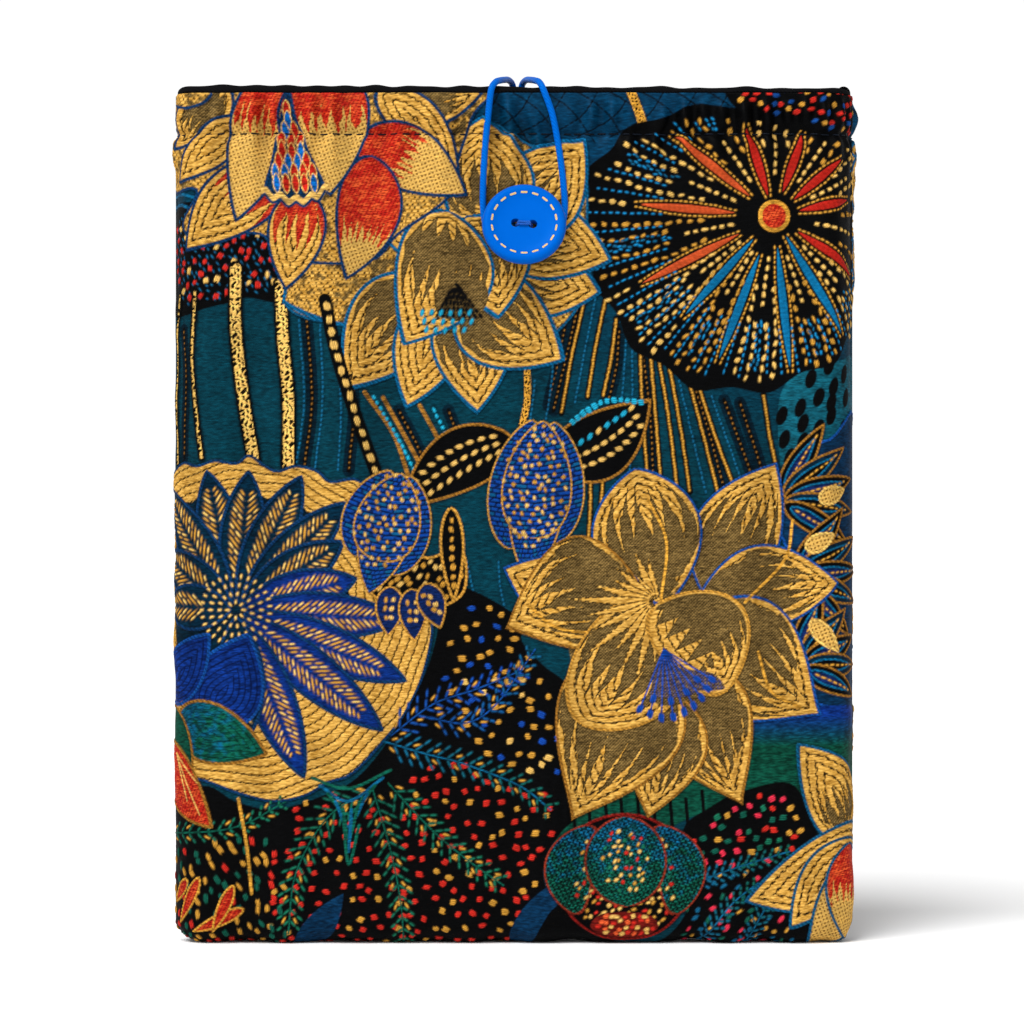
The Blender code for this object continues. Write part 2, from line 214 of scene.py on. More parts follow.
def heading(a, b):
    """(angle, length) of the way from a to b."""
    return math.atan2(b[1] - a[1], b[0] - a[0]), math.hypot(b[0] - a[0], b[1] - a[1])


def nearest_on_path(u, v, path, closed=False):
    """(distance, length along) of each point to a line through the path's points."""
    points = np.asarray(path, float)
    if closed:
        points = np.vstack([points, points[:1]])
    best = np.full(np.broadcast(u, v).shape, 1e9, np.float32)
    along = np.zeros_like(best)
    length = 0.0
    for (u0, v0), (u1, v1) in zip(points[:-1], points[1:]):
        du, dv = u1 - u0, v1 - v0
        size = math.hypot(du, dv) + 1e-9
        t = np.clip(((u - u0) * du + (v - v0) * dv) / size**2, 0, 1)
        gap = np.hypot(u - u0 - t * du, v - v0 - t * dv)
        closer = gap < best
        best = np.where(closer, gap, best)
        along = np.where(closer, length + t * size, along)
        length += size
    return best, along


def smooth_path(points, closed=False):
    """A smooth line through the given points, six steps from each to the next."""
    p = np.asarray(points, float)
    if closed:
        p = np.vstack([p[-1], p, p[:2]])
    else:
        p = np.vstack([2 * p[0] - p[1], p, 2 * p[-1] - p[-2]])
    out = []
    for a, b, c, d in zip(p[:-3], p[1:-2], p[2:-1], p[3:]):
        for k in range(6):
            t = k / 6
            cubic = 2 * a - 5 * b + 4 * c - d + t * (3 * (b - c) + d - a)
            out.append(b + 0.5 * t * (c - a + t * cubic))
    if not closed:
        out.append(p[-2])
    return np.array(out)


def inside_distance(u, v, outline):
    """Distance to a closed outline, positive inside it."""
    gap, _ = nearest_on_path(u, v, outline, closed=True)
    inside = np.zeros(gap.shape, bool)
    for (u0, v0), (u1, v1) in zip(outline, np.roll(outline, -1, axis=0)):
        crosses = (v0 > v) != (v1 > v)
        inside ^= crosses & (u < (u1 - u0) * (v - v0) / (v1 - v0 + 1e-12) + u0)
    return np.where(inside, gap, -gap)


class Shape:
    """What a fill may use at each point: depth inside the edge, share along, share across."""

    def __init__(self, canvas, here, u, v, depth, along, across, size):
        self.u, self.v = u + 0 * v, v + 0 * u
        self.depth, self.along, self.size = depth, along, size
        self.across = np.clip(across, -1.2, 1.2)
        self.grain = canvas.grain[here]
        self.fibre = canvas.fibre[here]
        self.cloud = canvas.cloud[here]


# ---- fills: each gives (colour, relief in mm) over a shape ----


def over(low, high, cover):
    """One weave over another, where each is (colour, relief) and cover is 0 to 1."""
    return mixed(low[0], high[0], cover), low[1] * (1 - cover) + high[1] * cover


def float_rows(shape, row, along, width=2.9, light=0.0, gap=0.42):
    """Rows of gold floats, all laid across the cloth, parted by dark dashed lines, with a painted highlight
    along each row's crown.
    """
    part = row / width
    f = part - np.floor(part)
    bulge = np.sqrt(np.clip(1 - (2 * f - 1) ** 2, 0, 1))
    beat = along * 2.3 + np.floor(part) * 2.4
    dash = np.clip(np.sin(beat) * 1.6 + 0.9, 0.05, 1)
    line = soft(gap - np.minimum(f, 1 - f) * width, 0.35) * dash
    # random tone of the fibres, and a painted highlight where each float bulges highest
    tone_and_crown_highlight = 0.40 + light + 0.30 * shape.fibre + 0.16 * bulge
    colour = mixed(GOLD, GOLD_LIGHT, np.clip(tone_and_crown_highlight, 0, 1))
    colour = mixed(colour, GOLD_DEEP, np.clip(0.16 * shape.cloud, 0, 0.35))
    colour = mixed(colour, STITCH_LINE, line)
    return colour, 0.16 + 0.42 * bulge * (1 - line) + 0.04 * shape.fibre


def taupe_weave(shape):
    """The fine brown and gold weave between the gold floats."""
    check = np.sin(shape.u * 5.2) * np.sin(shape.v * 5.2 + 0.5 * shape.grain)
    colour = mixed(TAUPE, TAUPE_LIGHT, np.clip(0.40 + 0.50 * check + 0.16 * shape.fibre, 0, 1))
    return colour, 0.10 + 0.05 * check


def gold(shape):
    """Gold floats in rows that follow the edge."""
    return float_rows(shape, shape.depth + 0.14 * shape.cloud, shape.along * shape.size)


def short_gold(shape):
    """Wider, paler gold floats for the rays at a flower's heart."""
    return float_rows(shape, shape.depth, shape.along * shape.size, 3.2, 0.1)


def flame(shape, start, reach, teeth=7.0):
    """0 to 1 where ragged tongues of thread reach in from a shape's tip."""
    wobble = shape.across * teeth * 0.5 + 0.12 * np.sin(shape.across * 9 + shape.along * 5)
    ragged = zigzag(wobble + 8.25) ** 0.75
    uneven = 0.75 + 0.25 * np.sin(np.floor(wobble + 8.25) * 2.7)
    ragged = ragged * reach * uneven + 0.02 * shape.cloud
    return soft((shape.along - start + ragged - reach / 2) * shape.size, 0.8)


def flamed(start=0.62, reach=0.34, rim=2.6):
    """Taupe in the middle, gold at the rim, and gold tongues from the tip and the base."""

    def fill(shape):
        tip = flame(shape, start, reach)
        ragged = rim * (0.7 + 0.6 * np.abs(np.sin(shape.along * 16 + 2 * shape.across)))
        edge = soft(ragged - shape.depth, 0.6)
        base = soft((0.13 - shape.along + 0.06 * np.sin(shape.across * 17)) * shape.size, 0.8)
        cover = np.maximum(np.maximum(tip, edge), base)
        return over(taupe_weave(shape), gold(shape), cover)

    return fill


def big_flame(start):
    """A great petal: taupe weave inside, gold at the rim and long tongues from its tip."""

    def fill(shape):
        wave = 1.1 + 1.5 * np.sin(shape.along * 17 + 3 * shape.across) + 0.4 * shape.cloud
        wave = np.maximum(wave, 0.45) + 2.2 * (shape.across > 0) * np.clip(shape.along, 0, 1)
        cover = np.maximum(flame(shape, start, 0.44), soft(wave - shape.depth, 0.6))
        return over(taupe_weave(shape), gold(shape), cover)

    return fill


def curl(shape):
    """The curled petal at a flower's heart, with gold tongues in from its lower edge."""
    tongue = 5.5 * (1 - zigzag(shape.along * 7 + 8)) + 2.2
    low = soft((shape.across + 1) * 9 - 0.5 - tongue, 0.7)
    tip = flame(shape, 0.72, 0.3)
    cover = np.maximum(np.maximum(1 - low, tip), soft(1.3 - shape.depth, 0.6))
    return over(taupe_weave(shape), gold(shape), cover)


def blue_haze(shape):
    """Blue threads crossing the taupe weave."""
    colour, lift = taupe_weave(shape)
    threads = np.clip(0.5 + 0.5 * np.sin(shape.u * 5.1 + 1.3 * shape.v + shape.grain), 0, 1)
    return mixed(colour, BLUE_DOT, 0.60 * threads * (shape.along < 0.85)), lift


def speckled_gold(shape):
    """Gold peppered with short dark stitches, and taupe clouds, with a painted highlight along the crown of
    each row.
    """
    row = shape.v / 1.3 + 40
    crown = 1 - zigzag(row)
    # painted highlight along the crown of each row, over the fibres' random tone
    tone_and_crown_highlight = 0.40 + 0.28 * shape.fibre + 0.25 * crown
    colour = mixed(GOLD, GOLD_LIGHT, np.clip(tone_and_crown_highlight, 0, 1))
    beat = np.sin(shape.u * 2.7 + np.floor(row) * 2.4 + 1.1 * shape.cloud)
    pepper = soft(beat - 0.60, 0.35) * soft(crown - 0.45, 0.4)
    colour = mixed(colour, STITCH_LINE, 0.88 * pepper)
    shade = soft(shape.cloud * 0.40 - 0.30 + 0.9 * (0.55 - shape.along), 0.6)
    return over((colour, 0.22 + 0.26 * crown * (1 - pepper)), taupe_weave(shape), shade)


def check_cloth(shape):
    """Cream-gold threads crossed by rows of small dark gaps."""
    turn = 0.35
    a = shape.u * math.cos(turn) + shape.v * math.sin(turn)
    b = shape.v * math.cos(turn) - shape.u * math.sin(turn)
    holes = (0.5 + 0.5 * np.cos(a * 4.3)) * (0.5 + 0.5 * np.cos(b * 4.3 + 0.4 * shape.cloud))
    colour = mixed(CHECK, GOLD_LIGHT, np.clip(0.35 + 0.3 * shape.fibre, 0, 1))
    hole = soft(holes - 0.52, 0.35)
    colour = mixed(colour, GOLD_DEEP, 0.95 * hole)
    return colour, 0.30 - 0.16 * hole + 0.03 * shape.fibre


def red_floats(shape):
    """Red satin floats with short dark slits and orange light in them."""
    slit = np.sin(shape.u * 3.1 + 3.0 * shape.v) * np.sin(shape.v * 5.2 - 1.2 * shape.u)
    glow = 0.22 + 0.40 * shape.fibre + 0.25 * shape.cloud
    colour = mixed(RED, ORANGE, np.clip(glow, 0, 1))
    colour = mixed(colour, RED_SLIT, 0.75 * soft(slit - 0.50, 0.3))
    return colour, 0.30 + 0.10 * shape.fibre * 0.4 - 0.08 * (slit > 0.6)


def red_into(other, start, reach, teeth):
    """Red at the base, another fill at the tip, and ragged tongues where they meet."""

    def fill(shape):
        return over(red_floats(shape), other(shape), flame(shape, start, reach, teeth))

    return fill


def red_to_check(start):
    """Red that turns to cream check."""
    return red_into(check_cloth, start, 0.22, 9.0)


def red_to_gold(start):
    """Red tongues at the base of a gold shape."""
    return red_into(gold, start, 0.5, 5.0)


def satin(colour, sheen, ridge):
    """A smooth fill with ribs across it and a painted sheen along the ribs."""

    def fill(shape):
        ribs = np.sin(shape.along * shape.size * 3.2 + shape.across)
        # painted sheen: a lit copy of the colour on the ribs and fibres, scaled by sheen
        light = np.clip(0.12 + 0.10 * shape.fibre + 0.10 * ribs, 0, 1) * sheen
        dome = np.sqrt(np.clip(1 - shape.across**2, 0, 1))
        tint = mixed(scaled(colour, 0.8), scaled(colour, 1.6, 0.01), light)
        return tint, 0.15 + ridge * dome + 0.03 * ribs

    return fill


def plain(colour, lift, change=0.25):
    """A plain woven ground."""

    def fill(shape):
        shade = np.clip(0.5 + change * shape.fibre + 0.3 * change * shape.cloud, 0, 1)
        return mixed(scaled(colour, 0.62), scaled(colour, 1.42), shade), lift + 0.0 * shape.depth

    return fill


def speckled(ground, colour, size, share=0.0):
    """Chunks of raised thread with squiggles of the ground between them."""

    def fill(shape):
        field = np.sin(shape.u * 4.2 / size + 1.5 * shape.cloud)
        field = field + np.sin(shape.v * 3.6 / size + 1.9 * shape.cloud + shape.u)
        cover = soft(field + 0.55 + share, 0.6)
        light = mixed(colour, scaled(colour, 1.35), np.clip(0.4 + 0.3 * shape.fibre, 0, 1))
        return mixed(ground, light, cover), 0.05 + 0.38 * cover

    return fill


def cobalt_contours(shape):
    """Cobalt satin with dark lines that follow the edge."""
    colour, lift = plain(COBALT, 0.25, 0.35)(shape)
    f = np.modf(shape.depth / 2.3 + 40)[0]
    line = soft(0.28 - np.minimum(f, 1 - f) * 2.3, 0.3)
    gold_tongues = flame(shape, 0.02, 0.3, 9) < 0.5
    colour = mixed(colour, GOLD, 0.75 * gold_tongues * (np.sin(shape.across * 22) > 0))
    return mixed(colour, COBALT_SHADE, 0.8 * line), lift


def green_to_blue(shape):
    """Green thread that turns blue towards the base."""
    base, lift = plain(LEAF_GREEN, 0.3, 0.4)(shape)
    blue, _ = plain(CYAN_DEEP, 0.3, 0.4)(shape)
    rows = np.modf(shape.depth / 2.1 + 20)[0]
    colour = mixed(base, blue, np.clip(1.1 - 1.7 * shape.along + 0.3 * shape.cloud, 0, 1))
    return mixed(colour, GREEN_SHADE, 0.55 * (rows < 0.18)), lift


def bulb_scale(shape):
    """Short slanting threads, green above and blue below, on near-black."""
    colour, lift = green_to_blue(shape)
    slant = shape.v * 1.0 + 0.35 * shape.u
    broken = np.sin(shape.u * 2.6 + np.floor(slant / 1.15) * 2.1)
    thread = soft(0.72 - zigzag(slant / 1.15 + 60), 0.3) * soft(broken + 0.55, 0.3)
    return mixed(mixed(colour, BLACK, 0.62), colour, thread), lift * 0.5 + 0.25 * thread


def bud_weave(shape):
    """Slanting blue dashes on near-black."""
    lane = shape.across * shape.size * 0.20
    slant = 0.7 * np.abs(shape.across)
    row = shape.along * shape.size / 1.75 + slant + 0.9 * shape.across
    step = np.floor(row)
    beat = lane / 2.9 + 0.5 * np.mod(step, 2) + 0.13 * shape.cloud
    dash = soft(0.34 - zigzag(row + 20) / 2, 0.2) * soft(0.40 - zigzag(beat + 20) / 2, 0.2)
    blue = mixed(BLUE_DOT, BLUE_LINE, np.clip(0.5 + 0.5 * shape.fibre, 0, 1))
    bright = np.mod(step + np.floor(beat + 20) * 3, 4) < 1
    blue = mixed(blue, CYAN_DEEP, 0.8 * bright)
    colour, _ = plain(COBALT_DARK, 0.1, 0.3)(shape)
    return mixed(colour, blue, dash), 0.12 + 0.36 * dash


# ---- drawing ----

STRAND_PITCH = 0.78


def petal(canvas, base, tip, width, fill, edge=None, form=DROP, bend=0.0, line=1.1):
    """A petal or leaf from its base to its tip. width is its half width, bend bows it sideways."""
    base, tip = np.asarray(base, float), np.asarray(tip, float)
    axis = tip - base
    size = math.hypot(*axis)
    reach = width + abs(bend) + 3
    found = canvas.window(np.minimum(base, tip) - reach, np.maximum(base, tip) + reach)
    if found is None:
        return
    here, u, v = found
    axis /= size
    along = ((u - base[0]) * axis[0] + (v - base[1]) * axis[1]) / size
    side = (u - base[0]) * -axis[1] + (v - base[1]) * axis[0]
    inner = np.clip(along, 0.0005, 0.9995)
    side = side - bend * 4 * inner * (1 - inner)
    root, point = form
    peak = root / (root + point)
    half = width * (inner / peak) ** root * ((1 - inner) / (1 - peak)) ** point
    steep_v, steep_u = np.gradient(half, canvas.pitch)
    slope = np.abs(steep_u) + np.abs(steep_v)
    depth = (half - np.abs(side)) / np.sqrt(1 + np.minimum(slope, 3) ** 2)
    beyond = np.maximum(-along, along - 1) * size
    depth = np.where(beyond > 0, -np.hypot(beyond, np.abs(side)), depth)
    shape = Shape(canvas, here, u, v, depth, inner, side / np.maximum(half, 0.4), size)
    draw(canvas, here, shape, fill, edge, line)


def draw(canvas, here, shape, fill, edge, line):
    """Lays a fill inside depth 0 and, if there is one, a stitched line round it, with a painted highlight
    on the line's raised knots.
    """
    colour, lift = fill(shape)
    canvas.lay(here, soft(shape.depth), colour, lift)
    if edge is not None:
        band = soft(line / 2 - np.abs(shape.depth - line * 0.2), 0.3)
        knots = 0.5 + 0.5 * np.sin((shape.u * 2.3 + shape.v * 2.9) * 1.3)
        # painted highlight on the raised knots of the line and painted shade between them, over a little
        # random tone
        light = np.clip(knots * 0.7 + 0.2 * shape.grain, 0, 1)
        tint = mixed(scaled(edge, 0.7), scaled(edge, 1.45), light)
        canvas.lay(here, band, tint, 0.42 + 0.14 * knots)


REGION_SIZE = 60.0


def region(canvas, outline, fill, edge=None, curved=True):
    """An area inside a closed outline."""
    outline = smooth_path(outline, closed=True) if curved else np.asarray(outline, float)
    low, high = outline.min(0), outline.max(0)
    found = canvas.window(low - 2, high + 2)
    if found is None:
        return
    here, u, v = found
    depth = inside_distance(u, v, outline)
    along = np.clip((high[1] - v) / (high[1] - low[1]) + 0 * u, 0, 1)
    across = (u - (low[0] + high[0]) / 2) / (high[0] - low[0]) * 2 + 0 * v
    shape = Shape(canvas, here, u, v, depth, along, across, REGION_SIZE)
    draw(canvas, here, shape, fill, edge, 1.1)


def line_through(points):
    """A smooth line through three or more points, or the straight one between two."""
    return smooth_path(points) if len(points) > 2 else np.asarray(points, float)


def stroke(canvas, points, width, fill, edge=None, line=0.8):
    """A band of some width along the line through the points."""
    band(canvas, line_through(points), width, fill, edge, line)


def band(canvas, path, width, fill, edge=None, line=0.8):
    """A band of some width along a path that is taken as it is."""
    reach = width / 2 + 2
    found = canvas.window(path.min(0) - reach, path.max(0) + reach)
    if found is None:
        return
    here, u, v = found
    gap, along = nearest_on_path(u, v, path)
    size = float(np.hypot(*np.diff(path, axis=0).T).sum())
    shape = Shape(canvas, here, u, v, width / 2 - gap, along / size, gap / (width / 2), size)
    draw(canvas, here, shape, fill, edge, line)


def stitch(canvas, place, angle, length, width, colour, high):
    """One raised stitch of a few threads laid side by side, with ragged ends; its colour carries painted
    shade between the threads and towards the ends, and a painted highlight on its crown.
    """
    u0, v0 = place
    reach = (length + width) / 2 + 0.8
    found = canvas.window((u0 - reach, v0 - reach), (u0 + reach, v0 + reach))
    if found is None:
        return
    here, u, v = found
    c, s = math.cos(angle), math.sin(angle)
    a = (u - u0) * c + (v - v0) * s
    b = (v - v0) * c - (u - u0) * s
    strand = np.floor(b / STRAND_PITCH + 0.5)
    ragged = min(1.0, length / 3)
    slip = 0.26 * ragged * np.sin(5.1 * strand + 3 * u0 + v0)
    spread = 0.20 * ragged * np.cos(3.7 * strand + 2 * v0 + u0)
    long_part = np.abs(a - slip) / (length / 2 + spread)
    wide_part = np.abs(b) / (width / 2)
    depth = (1 - (long_part**3 + wide_part**3) ** (1 / 3)) * min(length, width) / 2
    threads = 0.5 + 0.5 * np.cos(b * 2 * math.pi / STRAND_PITCH)
    dome = np.sqrt(np.clip(1 - (2 * a / length) ** 2, 0.05, 1))
    # painted shade: darker between threads and where the stitch dives at its ends, lighter on its crown
    tint = mixed(scaled(colour, 0.45), scaled(colour, 1.25, 0.005), 0.25 + 0.75 * threads * dome)
    canvas.lay(here, soft(depth, 0.4), tint, high * (0.45 + 0.55 * dome))


def scatter(canvas, outline, spacing, colours, length, width, angle, high=0.5):
    """Stitches over an area in loose staggered rows; angle is a number or a rule of place."""
    outline = smooth_path(outline, closed=True)
    low, top = outline.min(0), outline.max(0)
    row_pitch = spacing * 0.87
    places = []
    for row in range(int((top[1] - low[1]) / row_pitch) + 1):
        for column in range(int((top[0] - low[0]) / spacing) + 2):
            shift = canvas.rng.uniform(-0.28, 0.28, 2) * spacing
            across = low[0] + (column + 0.5 * (row % 2)) * spacing
            places.append((across + shift[0], low[1] + row * row_pitch + shift[1]))
    places = np.array(places)
    keep = inside_distance(places[:, 0], places[:, 1], outline) > width * 0.6
    for place in places[keep]:
        turn = angle(*place) if callable(angle) else angle
        turn += canvas.rng.uniform(-0.4, 0.4)
        scale, fat = canvas.rng.uniform(0.78, 1.15, 2)
        choice = colours[int(canvas.rng.integers(len(colours)))]
        stitch(canvas, place, turn, length * scale, width * fat, choice, high)


def walk(path, first, spacing, short=0.0):
    """(place, direction, share of the way) at even steps along a path."""
    steps = np.hypot(*np.diff(path, axis=0).T)
    total = np.concatenate([[0], np.cumsum(steps)])
    for gone in np.arange(first, total[-1] - short, spacing):
        i = min(int(np.searchsorted(total, gone, "right")) - 1, len(steps) - 1)
        t = (gone - total[i]) / steps[i]
        turn = math.atan2(*(path[i + 1] - path[i])[::-1])
        yield path[i] * (1 - t) + path[i + 1] * t, turn, gone / total[-1]


def dotted(canvas, path, spacing, colour, length, width, high=0.5):
    """Stitches end to end along a path; thin ones lie straighter than thick ones."""
    loose = 1.0 if width > 1.4 else 0.3
    for (u0, v0), turn, _ in walk(line_through(path), spacing * 0.5, spacing):
        turn += canvas.rng.uniform(-0.3, 0.3) * loose
        aside, scale, fat = canvas.rng.uniform(-1, 1, 3)
        off = 0.35 * aside * loose
        place = (u0 - math.sin(turn) * off, v0 + math.cos(turn) * off)
        wide = width * (1 + 0.25 * fat * loose)
        stitch(canvas, place, turn, length * (1 + 0.18 * scale), wide, colour, high)


def fern(canvas, path, colours, leaf_size, step=4.2, gold_dots=True):
    """A rib with pairs of slanting stitches, and gold stitches at every other root."""
    path = smooth_path(path)
    band(canvas, path, 0.6, plain(colours[0], 0.3))
    for number, (place, turn, share) in enumerate(walk(path, step, step, 1)):
        colour = mixed(colours[0], colours[1], share)
        size = leaf_size * (1 - 0.35 * share)
        for side in (-1, 1):
            lean = turn + side * 0.85
            for middle, part in ((0.30, 0.46), (0.80, 0.40)):
                spot = polar(place, lean, middle * size)
                stitch(canvas, spot, lean, size * part, 1.15, colour, 0.42)
            if gold_dots and number % 2 == 0:
                spot = polar(place, turn + side * 1.5, 2.2)
                stitch(canvas, spot, turn + side * 0.5, 2.6, 1.1, GOLD, 0.45)


# ---- the layout: each motif is drawn in front-panel millimetres and can be shifted across the cloth ----


def ground(canvas):
    """Teal twill over the whole panel, bluer at the top."""
    here, u, v = canvas.window((-U_EDGE, V_LOW), (U_EDGE, V_HIGH))
    none = u * 0 + v * 0
    shape = Shape(canvas, here, u, v, none + 99, none, none, 1.0)
    share = np.clip((v - 205 + 0.3 * u) / 110, 0, 1.0) + 0 * u
    colour, lift = over(plain(TEAL, 0.0, 0.17)(shape), plain(TOP_BLUE, 0.0, 0.17)(shape), share)
    canvas.lay(here, np.ones(shape.u.shape, np.float32), colour, lift)


def dotted_band(canvas):
    """The black band behind the red flower, with red, gold and teal dots."""
    outline = (
        (-138, 279), (-106, 281), (-87, 279), (-83, 264), (-87, 245), (-102, 246), (-113, 243),
        (-138, 241),
    )
    region(canvas, outline, plain(BLACK, 0.05))
    for start, stop in (
        ((-138, 289), (-115, 287)), ((-138, 285), (-116, 282)), ((-138, 281), (-119, 278)),
    ):
        middle = ((start[0] + stop[0]) / 2, (start[1] + stop[1]) / 2 + 2)
        stroke(canvas, (start, middle, stop), 1.2, plain(CYAN_DEEP, 0.3))
    inner = ((-132, 277), (-88, 277), (-87, 260), (-94, 248), (-132, 245))
    scatter(canvas, inner, 3.0, (CYAN_DEEP, CYAN_EDGE), 1.7, 0.8, 2.2, 0.3)
    scatter(canvas, inner, 5.0, (RED, RED, CHECK, RED), 2.6, 1.9, 1.3)


def lotus_stems(canvas):
    """Thin gold and cyan lines that run down through the teal water."""
    gold_lines = (
        ((27, 246), (22, 224), (18, 202)), ((35, 246), (31, 227), (28, 208)),
        ((39, 238), (37, 223), (34, 209)), ((52, 224), (54, 199), (56, 174)),
        ((55, 223), (59, 199), (62, 174)), ((58, 225), (63, 199), (67, 172)),
        ((65, 220), (72, 194), (79, 166)), ((95, 209), (98, 190), (103, 169)),
        ((29, 180), (29, 165), (28, 148)), ((34, 180), (33, 165), (33, 149)),
        ((48, 225), (49, 201), (51, 176)), ((70, 213), (77, 192), (84, 173)),
    )
    cyan_lines = (
        ((31, 246), (27, 226), (23, 205)), ((43, 234), (41, 207), (38, 180)),
        ((45, 228), (45, 203), (44, 176)), ((61, 222), (67, 197), (73, 172)),
        ((75, 209), (81, 192), (89, 170)), ((8, 215), (6, 196), (5, 176)),
        ((15, 224), (14, 211), (12, 199)), ((-74, 238), (-73, 207), (-76, 180)),
        ((-69, 237), (-66, 207), (-67, 180)), ((-82, 238), (-80, 207), (-83, 182)),
        ((-18, 146), (-16, 136), (-14, 126)), ((-6, 146), (-5, 134), (-2, 123)),
    )
    dark_lines = (
        ((-79, 238), (-77, 207), (-80, 181)), ((-65, 230), (-61, 207), (-63, 180)),
        ((21, 245), (17, 222), (13, 205)), ((25, 246), (20, 224), (15, 203)),
        ((49, 225), (52, 199), (53, 174)), ((68, 215), (75, 192), (81, 169)),
        ((80, 207), (87, 188), (94, 169)), ((86, 206), (92, 188), (98, 169)),
        ((-128, 234), (-127, 215), (-128, 185)), ((40, 234), (39, 220), (36, 207)),
        ((-44, 203), (-37, 190), (-31, 176)), ((-25, 203), (-21, 192), (-18, 180)),
    )
    for path in dark_lines:
        stroke(canvas, path, 4.6, plain(TEAL_SHADE, 0.0))
        stroke(canvas, path, 1.5, plain(BLACK, 0.1))
        dotted(canvas, path, 2.1, GOLD_DEEP, 0.9, 0.7, high=0.2)
    for path in cyan_lines:
        dotted(canvas, path, 1.8, CYAN_DEEP, 1.4, 0.9, high=0.35)
    for path in gold_lines:
        stroke(canvas, path, 2.3, plain(BLACK, 0.1))
        dotted(canvas, path, 1.25, GOLD, 1.5, 1.1, high=0.4)
    for path in (
        ((-57, 210), (-46, 194), (-40, 177)), ((-50, 208), (-41, 192), (-34, 179)),
        ((-36, 205), (-29, 192), (-25, 180)),
    ):
        stroke(canvas, path, 1.6, plain(GOLD_DEEP, 0.35, 0.35))
    for path in (((-54, 209), (-44, 192), (-37, 178)), ((-31, 204), (-25, 192), (-21, 182))):
        dotted(canvas, path, 2.4, CYAN, 2.0, 1.4)
    stroke(canvas, ((5, 218), (5, 207), (3, 197)), 2.6, speckled(BLACK, GOLD, 0.8))


def speckled_stems(canvas):
    """The pale speckled stems down the left."""
    for path, width in (
        (((-131, 247), (-133, 215), (-132, 183)), 2.2),
        (((-122, 249), (-123, 217), (-119, 185)), 2.4),
        (((-106, 257), (-106, 234), (-103, 207), (-99, 183)), 5.4),
        (((-89, 251), (-88, 230), (-86, 207), (-86, 182)), 5.4),
    ):
        stroke(canvas, path, width, speckled(STITCH_LINE, CHECK, 1.25, -0.18), BLACK, line=0.9)


def ray(canvas, centre, turn, start, stop, width, fill, edge=None, form=LENS, line=0.9):
    """A petal along a ray from a centre, between two distances."""
    base, tip = polar(centre, turn, start), polar(centre, turn, stop)
    petal(canvas, base, tip, width, fill, edge, form, line=line)


MEDALLION = (99, 277)
MEDALLION_SPOKES = (
    # degrees, start, end, thread
    (12, 10, 32, RED), (40, 10, 34, RED), (70, 10, 33, RED), (107, 8, 35, RED),
    (141, 12, 48, ORANGE), (175, 15, 51, ORANGE), (207, 15, 56, ORANGE), (228, 12, 50, RAY_BLUE),
    (249, 16, 58, RAY_BLUE), (276, 12, 58, RAY_BLUE), (301, 9, 52, RAY_BLUE), (327, 11, 41, RED),
)
# The rim is a circle round a place to the left of the middle, flattened at the top
MEDALLION_REACH = 67
MEDALLION_RISE = 0.66
MEDALLION_SHIFT = 9
RIM_LOBES = 15


def around(turn, radius):
    """The place at an angle and a distance from the medallion's middle."""
    return polar(MEDALLION, turn, radius)


def rim_distance(turn):
    """How far the medallion's rim lies from its middle at an angle."""
    c, s = math.cos(turn), math.sin(turn)
    tall = MEDALLION_REACH * (MEDALLION_RISE if s > 0 else 1.0)
    square = (c / MEDALLION_REACH) ** 2 + (s / tall) ** 2
    half = MEDALLION_SHIFT * c / MEDALLION_REACH**2
    rest = (MEDALLION_SHIFT / MEDALLION_REACH) ** 2 - 1
    return (-half + math.sqrt(half**2 - square * rest)) / square


def medallion(canvas):
    """A black round flower head with lens-shaped spokes and rows of gold stitches."""
    rim = []
    for k in range(2 * RIM_LOBES):
        turn = math.pi * k / RIM_LOBES
        flat = MEDALLION_REACH + 2.5 * math.sin(3 * turn + 1.0) - (0 if k % 2 else 3.4)
        rise = MEDALLION_RISE if math.sin(turn) > 0 else 1.0
        across = MEDALLION[0] - MEDALLION_SHIFT + flat * math.cos(turn)
        rim.append((across, MEDALLION[1] + rise * flat * math.sin(turn)))
    region(canvas, rim, plain(BLACK, 0.05))
    for number, (angle, start, stop, thread) in enumerate(MEDALLION_SPOKES):
        turn = math.radians(angle)
        following = MEDALLION_SPOKES[(number + 1) % len(MEDALLION_SPOKES)][0]
        gap = math.radians(following) - turn
        spoke(canvas, turn, start, stop, thread)
        between_spokes(canvas, turn, gap if gap > 0 else gap + 2 * math.pi, number)
    for radius, fill in ((6.2, plain(GOLD, 0.4)), (4.6, red_floats)):
        ray(canvas, MEDALLION, 0, -radius, radius, radius, fill, None, ROUND)


def spoke(canvas, turn, start, stop, colour):
    """One satin spoke with a row of small gold stitches down each side."""
    ray(canvas, MEDALLION, turn, start, stop, 1.55, satin(colour, 0.30, 0.35))
    for side in (-1, 1):
        path = []
        for k in range(9):
            t = k / 8
            place = around(turn, start - 1 + (stop + 3 - start) * t)
            off = side * (0.9 + 1.75 * math.sin(math.pi * min(t * 1.02, 1)))
            path.append((place[0] - off * math.sin(turn), place[1] + off * math.cos(turn)))
        dotted(canvas, path, 1.9, GOLD, 1.5, 0.85, 0.4)
    last = rim_distance(turn) - 4
    if last > stop + 8:
        dotted(canvas, (around(turn, stop + 5), around(turn, last)), 3.9, CHECK, 2.6, 1.6)


